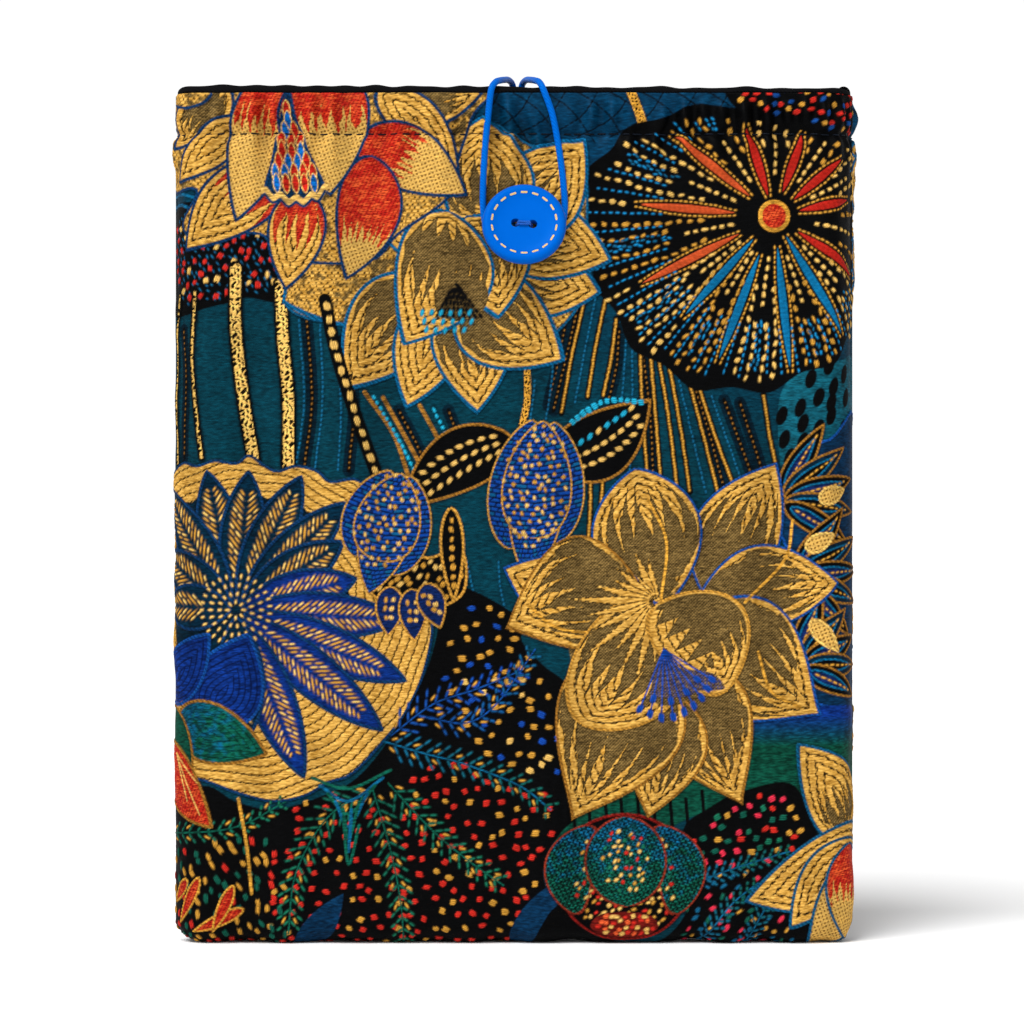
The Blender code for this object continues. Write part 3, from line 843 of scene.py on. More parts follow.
def between_spokes(canvas, turn, gap, number):
    """Rows of nuggets and a patch of small blue dashes in the gap after a spoke."""
    for share, first in ((0.24, 26), (0.40, 40), (0.60, 40), (0.76, 26)):
        low = turn + gap * share
        last = rim_distance(low) - 4
        if last < first + 6:
            continue
        path = (around(low, first), around(low + 0.02, 0.5 * (first + last)), around(low, last))
        dotted(canvas, path, 4.1, (CHECK, GOLD)[number % 2], 2.6, 1.45)
    middle = turn + gap / 2
    dotted(canvas, (around(middle, 15), around(middle, 36)), 3.4, CHECK, 2.3, 1.4)
    last = rim_distance(middle) - 5
    patch = []
    for k in range(6):
        swing = 2 * math.pi * k / 6
        radius = 0.5 * (38 + last) + 0.5 * max(last - 38, 4) * math.cos(swing)
        patch.append(around(middle + 0.10 * gap * math.sin(swing), radius))
    scatter(canvas, patch, 2.1, (RAY_BLUE, CYAN_DEEP, RAY_BLUE), 1.8, 1.0, middle, 0.4)
    for share in (0.12, 0.32, 0.68, 0.88):
        low = turn + gap * share
        last = rim_distance(low) - 5
        if last > 48:
            dotted(canvas, (around(low, 42), around(low, last)), 2.7, RAY_BLUE, 1.7, 0.9, 0.35)


QUILT_LEFT = -18
QUILT_TOP = 327


def night_band(canvas):
    """The deep blue band along the top, with thin dark quilting lines."""
    outline = (
        (-29, 330), (86, 330), (87, 317), (67, 315), (47, 307), (34, 287), (17, 303), (-6, 318),
    )
    region(canvas, outline, plain(NIGHT_BLUE, 0.05, 0.17))
    for k in range(8):
        left = QUILT_LEFT + 12.5 * k
        for width, steps in (
            (0.55, ((0, 0), (14, -9), (24, -22))), (0.5, ((14, 0), (6, -12), (-8, -20))),
        ):
            path = [(left + across, QUILT_TOP + down) for across, down in steps]
            dotted(canvas, path, 2.2, BLACK, 1.7, width, -0.1)
    stroke(canvas, ((43, 328), (47, 318), (50, 309)), 3.0, speckled(BLACK, GOLD, 0.8), GOLD)


def corner_dots(canvas):
    """The black corner above the medallion, with red, blue and gold dots."""
    outline = ((84, 330), (141, 330), (141, 303), (109, 310), (87, 316))
    region(canvas, outline, plain(BLACK, 0.05))
    inner = ((87, 326), (139, 326), (139, 307), (109, 313), (87, 319))
    scatter(canvas, inner, 4.0, (RED, RED, GOLD, BLUE_LINE), 2.6, 1.8, 0.4)


def oval_water(canvas):
    """Teal water with black ovals, below the medallion."""
    outline = (
        (101, 207), (109, 218), (125, 222), (138, 222), (138, 192), (120, 187), (109, 178), (102, 180),
    )
    region(canvas, outline, plain(OVAL_TEAL, 0.05))
    for u0, v0 in (
        (102, 201), (109, 204), (116, 208), (122, 212), (128, 217), (129, 208), (121, 201),
        (116, 196), (110, 191), (105, 185), (113, 215), (127, 196), (103, 192), (120, 220),
        (115, 187), (110, 198), (121, 206),
    ):
        low, high = (u0 - 1.2, v0 - 3.6), (u0 + 1.2, v0 + 3.6)
        petal(canvas, low, high, 2.0, plain(BLACK, 0.12), None, ROUND)


def red_flower(canvas):
    """The red and cream flower in the corner."""
    under = (
        (-140, 327), (-83, 328), (-44, 328), (-6, 328), (-15, 316), (-21, 299), (-25, 284),
        (-44, 270), (-55, 260), (-83, 260), (-97, 270), (-120, 269), (-128, 274), (-121, 287),
        (-140, 289),
    )
    region(canvas, under, speckled_gold, BLUE_EDGE)
    for base, tip, width, fill, bend in (
        ((-109, 327), (-132, 303), 10, flamed(), 0), ((-104, 314), (-130, 290), 8, gold, 0),
        ((-115, 325), (-138, 323), 6, speckled_gold, 0),
        ((-47, 317), (-12, 324), 9.5, flamed(0.7, 0.3, 1.8), 0),
        ((-52, 325), (-21, 292), 9.0, gold, 3),
        ((-87, 294), (-126, 264), 13.0, red_to_gold(0.30), -3),
        ((-80, 287), (-87, 249), 11.0, red_to_gold(0.36), 0),
        ((-60, 307), (-18, 285), 12.5, red_to_check(0.42), 2),
        ((-54, 300), (-64, 253), 12.5, red_to_check(0.62), 3),
        ((-93, 332), (-106, 275), 12.5, red_to_check(0.32), 2),
        ((-71, 335), (-70, 285), 17.5, red_to_check(0.42), -2),
    ):
        petal(canvas, base, tip, width, fill, BLUE_EDGE, bend=bend)
    wedge = (
        (-86, 326), (-89, 314), (-92, 299), (-95, 287), (-90, 284), (-83, 283), (-76, 285),
        (-72, 288), (-78, 301), (-83, 314),
    )
    region(canvas, wedge, plain(NAVY, 0.2), BLUE_EDGE)
    wedge_cells(canvas, (-87, 320), (-83, 288))
    hem = ((-95, 287), (-89, 285), (-83, 284), (-77, 285), (-72, 288))
    for near, far in zip(hem, hem[1:]):
        low = ((near[0] + far[0]) / 2, (near[1] + far[1]) / 2 - 2.2)
        stroke(canvas, (near, low, far), 2.6, plain(CHECK, 0.4))
        line = ((near[0], near[1] - 1.5), (low[0], low[1] - 1.6), (far[0], far[1] - 1.5))
        stroke(canvas, line, 1.0, plain(BLUE_EDGE, 0.5))


CELL_ROWS = 8


def wedge_cells(canvas, top, foot):
    """Narrow lozenges with pale outlines that fill a wedge from its point to its foot."""
    lean = ((top[0] - foot[0]) / 18, (top[1] - foot[1]) / 18)
    for row in range(CELL_ROWS):
        share = (row + 0.5) / CELL_ROWS
        middle = between(top, foot, share)
        count = 1 + int(share * 5.2)
        for k in range(count):
            place = middle[0] + (k - (count - 1) / 2) * 3.55
            low = (place - lean[0] * 1.9, middle[1] - lean[1] * 1.9 - 1.0)
            high = (place + lean[0] * 1.9, middle[1] + lean[1] * 1.9)
            colour = (RED, WEDGE_BLUE, RED, WEDGE_BLUE, RED)[(row * 3 + k * 3) % 5]
            petal(canvas, low, high, 1.5, plain(colour, 0.35), CHECK, LENS, line=0.42)


LOTUS_PETALS = (
    # base, tip, half width, fill, bend
    ((-6, 260), (33, 248), 15, "ragged", -2), ((-41, 260), (-88, 244), 24, "speckled", -5),
    ((-6, 270), (37, 260), 15, "ragged", 2), ((-6, 275), (27, 306), 17, "ragged", -3),
    ((-11, 274), (-12, 315), 21, "ragged", 2), ((-25, 274), (-54, 281), 14, "gold", 2),
    ((-27, 251), (-64, 211), 18, "flamed", -4), ((-29, 245), (-41, 204), 13, "gold", 1),
    ((-21, 245), (-14, 202), 15, "flamed", 2), ((-19, 253), (19, 222), 18, "flamed", -4),
    ((-18, 277), (-6, 238), 16, "flamed", 4), ((-25, 279), (-42, 228), 19, "flamed", 6),
)
LOTUS_FILLS = {
    "speckled": speckled_gold, "gold": gold,
    "flamed": flamed(0.52, 0.42, 2.0), "ragged": flamed(0.40, 0.55, 3.2),
}
LOTUS_HEART = (-21, 238)
LOTUS_SEEDS = (-35, 240.2)


def lotus(canvas):
    """The gold lotus with a hatched heart and cyan seeds."""
    under = (
        (-43, 284), (-29, 299), (-12, 313), (9, 303), (26, 299), (28, 268), (28, 249), (13, 230),
        (-14, 218), (-37, 222), (-48, 234), (-79, 238), (-86, 247), (-67, 268),
    )
    region(canvas, under, speckled_gold, CYAN_EDGE)
    for base, tip, width, name, bend in LOTUS_PETALS:
        petal(canvas, base, tip, width, LOTUS_FILLS[name], LOTUS_EDGE, bend=bend, line=1.3)
    heart = ((-30, 248), (-25, 254), (-16, 254), (-10, 249), (-12, 241), (-21, 237), (-29, 240))
    region(canvas, heart, taupe_weave)
    for k in range(9):
        angle = math.radians(58 + 8 * k)
        foot = (LOTUS_HEART[0] + (k - 4) * 2.2, LOTUS_HEART[1])
        tip = (foot[0] + 13 * math.cos(angle + 0.1), foot[1] + 13 * math.sin(angle))
        dotted(canvas, (foot, tip), 2.4, BLACK, 2.1, 1.2, 0.45)
    for k in range(17):
        row, column = divmod(k, 6)
        place = (LOTUS_SEEDS[0] + column * 3.6 + row * 0.8, LOTUS_SEEDS[1] - row * 3.3)
        stitch(canvas, place, 1.25, 2.7, 1.5, CYAN, 0.6)
    stem = ((-72, 245), (-68, 226), (-61, 203), (-50, 172))
    stroke(canvas, stem, 5.0, plain(BLACK, 0.2))
    dotted(canvas, stem, 5.0, CHECK, 3.4, 2.4)


def gold_scallops(canvas):
    """The pale gold ground behind the rosette, with rows of floats in arcs."""
    outline = (
        (-140, 176), (-129, 183), (-121, 182), (-114, 184), (-106, 183), (-101, 186), (-95, 182),
        (-90, 180), (-83, 182), (-75, 180), (-70, 176), (-61, 177), (-57, 173), (-64, 161),
        (-52, 146), (-37, 130), (-31, 122), (-34, 104), (-40, 90), (-47, 80), (-61, 65),
        (-71, 61), (-80, 56), (-92, 54), (-105, 57), (-119, 62), (-140, 65), (-150, 74),
        (-157, 86), (-163, 100), (-166, 115), (-165, 132), (-160, 146), (-153, 161), (-146, 173),
    )
    middle = (-102, 127)

    def arcs(shape):
        out = np.hypot(shape.u - middle[0], shape.v - middle[1])
        turn = np.arctan2(shape.v - middle[1], shape.u - middle[0])
        return float_rows(shape, out + 0.7 * np.sin(turn * 14), turn * 60, 3.3, 0.05, 0.32)

    region(canvas, outline, arcs, BLUE_EDGE)


ROSETTE = (-106, 127)
LEAF_STEP = 2.3
ROSETTE_TIPS = (
    (-117, 180), (-101, 180), (-81, 178), (-64, 168), (-65, 153), (-60, 139), (-42, 123),
    (-41, 100), (-50, 81), (-80, 63), (-102, 77), (-138, 174), (-140, 149), (-140, 129),
)


def rosette_ground():
    """The outline of the dark cloth between the leaves: out along each leaf, in between two."""
    reach = sorted(heading(ROSETTE, tip) for tip in ROSETTE_TIPS)
    after = reach[1:] + [(reach[0][0] + 2 * math.pi, reach[0][1])]
    outline = []
    for (turn, size), (following, other) in zip(reach, after):
        outline.append(polar(ROSETTE, turn, 0.88 * size))
        half = (turn + following) / 2
        inner = (0.80 if half > 0 else 0.52) * (size + other) / 2
        outline.append(polar(ROSETTE, half, inner))
    return outline


def rosette(canvas):
    """The navy leaf rosette with gold chevrons."""
    region(canvas, rosette_ground(), plain(ROSETTE_GROUND, 0.05), None, curved=False)
    for number, tip in enumerate(ROSETTE_TIPS):
        leaf(canvas, ROSETTE, tip, 8.8, COBALT if 5 <= number <= 9 else NAVY_LEAF)
    for ring, radius in enumerate((3.0, 6.2, 9.6, 13.0)):
        count = 8 + 7 * ring
        for k in range(count):
            turn = 2 * math.pi * (k + 0.5 * (ring % 2)) / count
            stitch(canvas, polar(ROSETTE, turn, radius), turn, 1.9, 1.1, CHECK, 0.5)


def leaf(canvas, centre, tip, width, colour):
    """A long leaf with two bands of slanting gold dashes beside its dark midrib."""
    turn, size = heading(centre, tip)
    start = between(centre, tip, 0.05)
    petal(canvas, start, tip, width, plain(colour, 0.15), BLUE_EDGE, LEAF, line=1.2)
    reach = size * 0.93
    for k in range(5, int(reach / LEAF_STEP)):
        place = k * LEAF_STEP
        half = width * leaf_width(place / reach) - 2.6
        if half < 1.6:
            continue
        dashes = 1 if half < 4.6 or k % 3 == 0 else 2
        root = polar(start, turn, place - 1.2)
        for side in (-1, 1):
            lean = turn + side * 0.72
            for dash in range(dashes):
                out = 1.0 + half * (dash + 0.5) / dashes * 1.2
                thread = (GOLD, GOLD_RIM, CHECK)[k % 3]
                stitch(canvas, polar(root, lean, out), lean, half / dashes, 1.0, thread, 0.45)


def leaf_width(share):
    """A leaf's half width at a share of its length, as a share of its widest."""
    root, tip = LEAF
    peak = root / (root + tip)
    return (share / peak) ** root * ((1 - share) / (1 - peak)) ** tip


def corner_petals(canvas):
    """The cobalt, green and red petals that overlap the rosette at the left edge."""
    petal(canvas, (-123, 84), (-101, 118), 15, cobalt_contours, BLUE_LINE, bend=-4)
    petal(canvas, (-138, 92), (-116, 118), 10, cobalt_contours, BLUE_LINE)
    petal(canvas, (-132, 86), (-94, 72), 11.5, green_to_blue, GOLD_DEEP)
    petal(canvas, (-138, 90), (-123, 63), 6.5, plain(GREEN, 0.2), GOLD_DEEP)


def hanging_petal(canvas):
    """The pointed red petal that hangs over the mound at the left edge."""
    petal(canvas, (-140, 76), (-115, 44), 9.5, red_floats, GOLD_DEEP, bend=-2)
    for tip in ((-126, 54), (-120, 49), (-121, 61)):
        stroke(canvas, ((-132, 72), tip), 0.6, plain(CHECK, 0.4))


MOUND_OUTLINE = (
    (-20, 136), (-27, 130), (-30, 115), (-35, 100), (-46, 80), (-60, 63), (-76, 55), (-92, 51), (-106, 54),
    (-119, 60), (-140, 49), (-140, -21), (12, -21), (11, 26), (17, 41), (25, 49), (27, 58), (28, 71),
    (23, 78), (21, 97), (11, 106), (3, 115), (2, 124),
)


def slant(u, v):
    """The loose swirl that the mound's dots follow."""
    return 0.45 * math.sin(u / 21) * math.cos(v / 26)


MOUND_DOTS = (
    # outline, spacing, threads, length, width, direction
    (
        (
            (-21, 132), (-1, 124), (8, 107), (19, 96), (21, 77), (26, 65), (9, 62), (-18, 73),
            (-29, 92), (-27, 115),
        ),
        6.2, (GOLD, BLUE_DOT, GOLD, CHECK, GOLD), 2.8, 2.2, slant,
    ),
    (
        (
            (-44, 65), (-18, 69), (17, 58), (25, 58), (15, 40), (11, 23), (9, -6), (-41, -6),
            (-43, 31),
        ),
        6.0, (RED, GOLD, RED, GOLD, RED), 2.6, 2.2, slant,
    ),
    (
        ((-83, 54), (-52, 58), (-44, 35), (-41, -6), (-90, -6), (-94, 23)),
        6.0, (RED, GOLD, RED, RED), 2.6, 2.2, slant,
    ),
    (
        ((-138, 31), (-106, 42), (-90, 35), (-88, -6), (-138, -6)),
        5.2, (GOLD, GOLD, RED, LEAF_GREEN), 3.4, 1.8, 1.9,
    ),
)
MOUND_FERNS = (
    # path, root and tip threads, leaf length
    (((-47, 79), (-31, 91), (-14, 97), (3, 104)), (BLUE_LINE, BLUE_DOT), 8.0),
    (((-33, 86), (-18, 84), (-6, 92), (8, 112)), (BLUE_LINE, CYAN_DEEP), 7.0),
    (((-50, 77), (-33, 72), (-18, 68), (2, 60), (14, 51)), (CYAN_DEEP, LEAF_GREEN), 8.0),
    (((-54, 59), (-71, 48), (-83, 27), (-86, 4)), (LEAF_GREEN, GREEN_BRIGHT), 9.0),
    (((-54, 59), (-47, 35), (-43, 14), (-42, -6)), (LEAF_GREEN, GREEN_BRIGHT), 8.0),
    (((-48, 61), (-31, 43), (-18, 32), (-4, 22)), (LEAF_GREEN, GREEN_BRIGHT), 8.0),
    (((-138, 41), (-107, 44), (-87, 54)), (LEAF_GREEN, GREEN_BRIGHT), 6.0),
)


def mound(canvas):
    """The black mound with ferns and dots."""
    region(canvas, MOUND_OUTLINE, plain(BLACK, 0.02))
    for dots in MOUND_DOTS:
        scatter(canvas, *dots)
    for path, colours, leaf_size in MOUND_FERNS:
        fern(canvas, path, colours, leaf_size)
    for k in range(7):
        drop = 3.0 * k
        path = ((-77 + drop, 63 - drop), (-63, 59 - drop * 1.6), (-47 - drop, 66 - drop))
        stroke(canvas, path, 1.2, plain((LEAF_GREEN, CYAN_DEEP)[k % 2], 0.3))
    stroke(canvas, ((-105, 55), (-102, 38), (-100, 19)), 1.3, plain(GOLD, 0.4))
    for base, tip in (
        ((-120, 25), (-130, 7)), ((-103, 13), (-123, 4)), ((-107, 22), (-115, 4)),
        ((-126, 24), (-134, 15)),
    ):
        petal(canvas, base, tip, 2.4, red_floats, GOLD, line=0.8)
    petal(canvas, (-83, -7), (-65, 19), 6, plain(NAVY, 0.1))
    petal(canvas, (2, -8), (15, 23), 8, plain(NAVY, 0.1))


def leaf_pair(canvas):
    """The black leaves beside the buds, with gold dots and a blue edge."""
    for base, tip, width, bend, top in (
        ((0, 192), (-43, 166), 12, -4, CHECK), ((14, 182), (52, 207), 13, -4, CYAN),
    ):
        petal(canvas, base, tip, width, plain(BLACK, 0.2), GOLD_DEEP, bend=bend)
        turn, _ = heading(base, tip)
        for k in range(9):
            share = 0.14 + 0.085 * k
            half = width * (4 * share * (1 - share)) ** 0.5 * 0.62
            for row in (-0.62, 0.0, 0.62):
                off = half * row + bend * 4 * share * (1 - share)
                spine = between(base, tip, share + 0.02 * row)
                place = polar(spine, turn + math.pi / 2, off)
                colour = top if row > 0 and k % 4 else CHECK
                stitch(canvas, place, turn + 0.62 * row, 2.9, 1.7, colour, 0.45)
    dotted(canvas, ((21, 198), (31, 205), (41, 207), (50, 206)), 2.6, CYAN, 2.2, 2.2)


BUDS = (
    # top, tip, half width, sideways lean of the folds
    ((11, 199), (5, 137), 18, 1),
    ((-43, 179), (-56, 133), 17, -1),
)


BUD_FOLDS = (
    # sideways swing, length, share of the width, form
    (0.70, 0.74, 0.62, (0.7, 0.6)), (-0.62, 0.80, 0.66, (0.7, 0.6)),
    (0.05, 1.0, 0.58, (0.9, 0.9)), (0.02, 0.72, 0.74, (0.7, 0.45)),
)


def buds(canvas):
    """The two drooping buds of blue dashes, with small gold bracts."""
    bract = (
        (-55, 146), (-44, 151), (-33, 147), (-20, 150), (-19, 134), (-31, 127), (-45, 127),
        (-55, 134),
    )
    region(canvas, bract, plain(BLACK, 0.2), GOLD_RIM)
    scatter(canvas, bract, 3.9, (CHECK, GOLD), 2.8, 1.7, 0.8)
    petal(canvas, (-24, 166), (-23, 130), 4.5, plain(BLACK, 0.2), GOLD_RIM)
    dotted(canvas, ((-24, 163), (-23, 134)), 3.6, GOLD, 2.4, 1.7)
    for base, tip in (((-47, 136), (-48, 117)), ((-39, 135), (-38, 115)), ((-34, 137), (-28, 120))):
        petal(canvas, base, tip, 5.4, plain(COBALT_DARK, 0.2), GOLD_RIM, line=0.8)
        for swing in (-1.9, 1.4):
            path = ((base[0] + swing, base[1] - 3.5), (tip[0] + swing * 0.4, tip[1] + 5))
            dotted(canvas, path, 3.4, (GOLD, CHECK)[swing > 0], 2.0, 1.6)
    for top, tip, width, lean in BUDS:
        bud(canvas, np.asarray(top, float), np.subtract(tip, top), width, lean)


def bud(canvas, top, axis, width, lean):
    """One bud: four folds from its top, and knots of gold over them."""
    turn = math.atan2(axis[1], axis[0])
    side = np.array((-math.sin(turn), math.cos(turn)))
    for number, (swing, length, share, form) in enumerate(BUD_FOLDS):
        swing *= lean if number < 2 else 1
        start = top + side * width * swing * 0.35
        foot = top + axis * length + side * width * swing * 0.75
        petal(canvas, start, foot, width * share, bud_weave, GOLD_RIM, form, line=0.7)
    middle = top + axis * 0.40
    knots = [
        tuple(middle + axis * 0.42 * math.cos(t) + side * width * 0.78 * math.sin(t))
        for t in (0, 1.05, 2.1, 3.14, 4.2, 5.25)
    ]
    scatter(canvas, knots, 3.5, (CHECK, GOLD), 1.9, 1.5, turn + 0.6, 0.5)


BIG_PETALS = (
    # base, tip, half width, form, bend
    ((77, 126), (100, 183), 17, (0.85, 1.0), 4), ((58, 128), (46, 181), 21, (0.95, 0.8), 1),
    ((69, 129), (124, 137), 16, (0.9, 1.0), 3), ((54, 128), (-4, 143), 17, (0.85, 1.0), 4),
    ((70, 126), (117, 87), 24, (0.75, 1.2), -3), ((67, 106), (87, 53), 19, (0.7, 1.2), -3),
    ((51, 130), (-3, 120), 22, (0.75, 1.1), -8), ((59, 96), (51, 48), 16, (0.7, 1.1), 2),
    ((47, 114), (22, 47), 25, (0.75, 1.2), 4),
)


FLOWER_VEINS = (
    ((51, 169), (58, 153), (56, 131)), ((106, 161), (103, 146), (88, 130)),
    ((5, 129), (17, 120), (35, 118)), ((93, 111), (98, 96), (109, 90)),
)
STAMEN_ROOT = (57, 112)


def big_flower(canvas):
    """The great gold flower: nine flamed petals, a curled heart and a fan of blue stamens."""
    under = (
        (32, 146), (51, 161), (78, 146), (101, 134), (97, 107), (78, 84), (47, 81), (25, 100),
        (21, 123),
    )
    region(canvas, under, taupe_weave)
    for number, (base, tip, width, form, bend) in enumerate(BIG_PETALS):
        edge = BLUE_LINE if number < 5 else GOLD_DEEP
        fill = big_flame(0.62 + 0.03 * (number % 3))
        petal(canvas, base, tip, width, fill, edge, form, bend, 0.9)
    for vein in FLOWER_VEINS:
        stroke(canvas, vein, 1.1, plain(GOLD, 0.4, 0.5))
    petal(canvas, (52, 130), (26, 83), 21, big_flame(0.60), GOLD_RIM, (0.6, 0.6), 5, 1.0)
    petal(canvas, (67, 115), (80, 98), 13, taupe_weave, None, (0.6, 0.6), -3)
    for k in range(17):
        angle = math.radians(100 + 13 * k)
        stop = (17 if k < 5 else 29) + 5 * math.sin(k * 2.3)
        ray(canvas, (54, 130), angle, 1, stop, 1.7, short_gold, None, (0.35, 0.9))
    petal(canvas, (54, 129), (81, 96), 18, curl, GOLD_RIM, (0.55, 0.6), 7, 1.0)
    heart = ((57, 112), (63, 105), (75, 103), (80, 97), (70, 96), (63, 91), (55, 91), (52, 96))
    region(canvas, heart, blue_haze)
    for k in range(9):
        angle = math.radians(-112 + 10 * k)
        stop = polar(STAMEN_ROOT, angle, 26.5 - 0.9 * abs(k - 2.5))
        stroke(canvas, (STAMEN_ROOT, stop), 0.6, plain(BLUE_DOT, 0.45))
        for share in (1.0, 0.76)[: 1 + k % 2]:
            place = between(STAMEN_ROOT, stop, share)
            stitch(canvas, place, angle, 3.6, 2.3, BLUE_DOT, 0.6)


def shard_leaf(canvas):
    """The leaf of navy and black shards with gold lines, at the right edge."""
    outline = (
        (103, 177), (109, 187), (120, 192), (139, 196), (139, 87), (119, 90), (109, 96),
        (103, 115), (106, 142), (100, 161),
    )
    region(canvas, outline, plain(NAVY, 0.1), BLUE_LINE)
    for centre, angles, reach in (
        ((100, 169), (58, 36, 14, -8, -30), 34), ((105, 140), (50, 26, 4, -18, -42), 34),
        ((107, 106), (70, 46, 22, 0, -24), 30),
    ):
        for k, angle in enumerate(angles):
            turn = math.radians(angle)
            wide = plain((BLACK, NAVY_LEAF)[k % 2], 0.2)
            inner = plain((COBALT_DARK, BLACK)[k % 2], 0.2)
            ray(canvas, centre, turn, 3, reach, 4.6, wide, GOLD_DEEP, DROP)
            ray(canvas, centre, turn, 6, reach - 6, 2.4, inner, CYAN_DEEP, DROP, line=0.8)
            path = [polar(centre, turn, radius) for radius in (8, reach * 0.5, reach - 4)]
            dotted(canvas, path, 2.4, GOLD, 1.8, 0.9)
    for base, tip in (((111, 150), (122, 156)), ((113, 123), (124, 111)), ((116, 169), (128, 173))):
        petal(canvas, base, tip, 3.4, check_cloth, CHECK, line=0.9)


GREEN_TOP = 81
GREEN_ROWS = (22, 58)


def green_ground(canvas):
    """Blue fading into green behind the flower at the right."""
    outline = (
        (87, 87), (109, 90), (139, 87), (139, 54), (93, 54), (70, 49), (47, 39), (16, 38),
        (15, 61), (47, 69), (86, 77),
    )

    def fill(shape):
        blue, lift = plain(COBALT, 0.1, 0.3)(shape)
        green, _ = plain(GREEN, 0.1, 0.3)(shape)
        return mixed(blue, green, np.clip((GREEN_TOP - shape.v) / 12 + 0.5, 0, 1)), lift

    region(canvas, outline, fill)
    for k in range(9):
        start = (GREEN_ROWS[0] + k * 6.2, GREEN_ROWS[1] - (k % 2) * 3)
        stroke(canvas, (start, (start[0] + 1.4, start[1] - 17)), 1.3, plain(BLACK, 0.05))


def dark_patch(canvas):
    """The black patch with dots and small ferns under the great flower."""
    outline = (
        (64, 42), (75, 52), (87, 58), (105, 61), (113, 49), (116, 36), (109, 23), (109, -21),
        (12, -21), (17, 15), (47, -5), (67, 15),
    )
    region(canvas, outline, plain(BLACK, 0.03))
    upper = ((67, 41), (87, 56), (105, 58), (113, 40), (97, 27), (70, 30))
    scatter(canvas, upper, 4.9, (PINK, RED, GREEN_BRIGHT, PINK, GOLD, LEAF_GREEN), 2.7, 2.2, 0.3)
    lower = ((67, 30), (97, 26), (109, 15), (105, -5), (61, -5), (65, 15))
    scatter(canvas, lower, 4.8, (LEAF_GREEN, PINK, CYAN_DEEP, GOLD), 2.8, 1.5, 0.9)
    for path in (
        ((70, -2), (82, 14), (93, 23)), ((87, -5), (95, 12), (105, 23)),
        ((67, 22), (82, 28), (105, 35)),
    ):
        fern(canvas, path, (CYAN_DEEP, LEAF_GREEN), 5.5, 3.2, False)


BULB = (42, 25)
BULB_SCALES = (
    # base and tip from the bulb's middle, half width, bend
    ((-13, 20), (-19, -14), 9.5, -5), ((13, 20), (20, -14), 9.5, 5), ((0, 23.5), (1, -11), 15.5, 0),
)


def bulb_ring(across, up, down, turns):
    """Places round the bulb's middle on an ellipse that sits some way below it."""
    return [(BULB[0] + across * math.cos(t), BULB[1] - down + up * math.sin(t)) for t in turns]


def bulb(canvas):
    """The round bulb of green and blue scales with red at its foot."""
    rim = [
        (BULB[0] + 26 * math.cos(t) * (1 + 0.02 * math.sin(3 * t)), BULB[1] + 24.4 * math.sin(t))
        for t in np.linspace(0, 2 * math.pi, 18, endpoint=False)
    ]
    region(canvas, rim, plain(BLACK, 0.25), RED_RIM)
    low = bulb_ring(20, 15, 8, (3.3, 3.9, 4.7, 5.5, 6.1, 0.8, 2.3))
    scatter(canvas, low, 3.0, (CHECK, GOLD, RED, CHECK), 2.0, 1.4, 0.6)
    foot = bulb_ring(13, 5.5, 18, (3.2, 4.0, 4.7, 5.4, 6.2, 0.9, 2.2))
    region(canvas, foot, plain(RED_FOOT, 0.2))
    scatter(canvas, foot, 2.6, (RED, ORANGE, RED, CHECK), 2.2, 1.5, 0.3)
    for base, tip, width, bend in BULB_SCALES:
        start = (BULB[0] + base[0], BULB[1] + base[1])
        end = (BULB[0] + tip[0], BULB[1] + tip[1])
        petal(canvas, start, end, width, bulb_scale, RED_BROWN, (0.55, 0.55), bend, 0.8)
        knots = []
        for k in range(8):
            turned = 2 * math.pi * k / 8
            share = 0.48 - 0.40 * math.cos(turned)
            off = 0.62 * width * math.sin(turned) - bend * 4 * share * (1 - share) * 0.6
            spot = between(start, end, share)
            knots.append((spot[0] + off, spot[1]))
        scatter(canvas, knots, 3.1, (CHECK, RED, GOLD, GREEN_BRIGHT, CHECK), 1.9, 1.35, 0.8)


def corner_gold(canvas):
    """The pale gold petals in the lower right corner."""
    petal(canvas, (129, 38), (108, 76), 13, flamed(0.35, 0.4, 3.4), CYAN_EDGE, bend=-4)
    petal(canvas, (141, 42), (88, 16), 14, gold, CYAN_EDGE, bend=4)
    petal(canvas, (141, 36), (105, 6), 12, gold, CYAN_EDGE, bend=-4)
    petal(canvas, (141, 36), (112, -8), 12, red_to_check(0.30), CYAN_EDGE)
    petal(canvas, (130, 38), (132, -5), 12, red_to_check(0.42), CYAN_EDGE)


MOTIFS = (
    lotus_stems, dotted_band, speckled_stems, night_band, oval_water, medallion, corner_dots,
    shard_leaf, green_ground, gold_scallops, rosette, corner_petals, mound, hanging_petal,
    dark_patch, bulb, lotus, red_flower, leaf_pair, buds, big_flower, corner_gold,
)
# The back is cut half a repeat along the cloth: the pattern ends and begins again down its middle.
BACK_SHIFTS = (132, -132)


def front_layout(canvas):
    """Every motif once, over the ground."""
    ground(canvas)
    for motif in MOTIFS:
        motif(canvas)


def back_layout(canvas):
    """Every motif twice, half a repeat to each side."""
    ground(canvas)
    for motif in MOTIFS:
        for across in BACK_SHIFTS:
            canvas.shift = across
            motif(canvas)
    canvas.shift = 0


# Thread colours gain contrast about the tone of the gold
DYE = 0.80
MIDDLE_TONE = 0.27
CONTRAST = 0.28


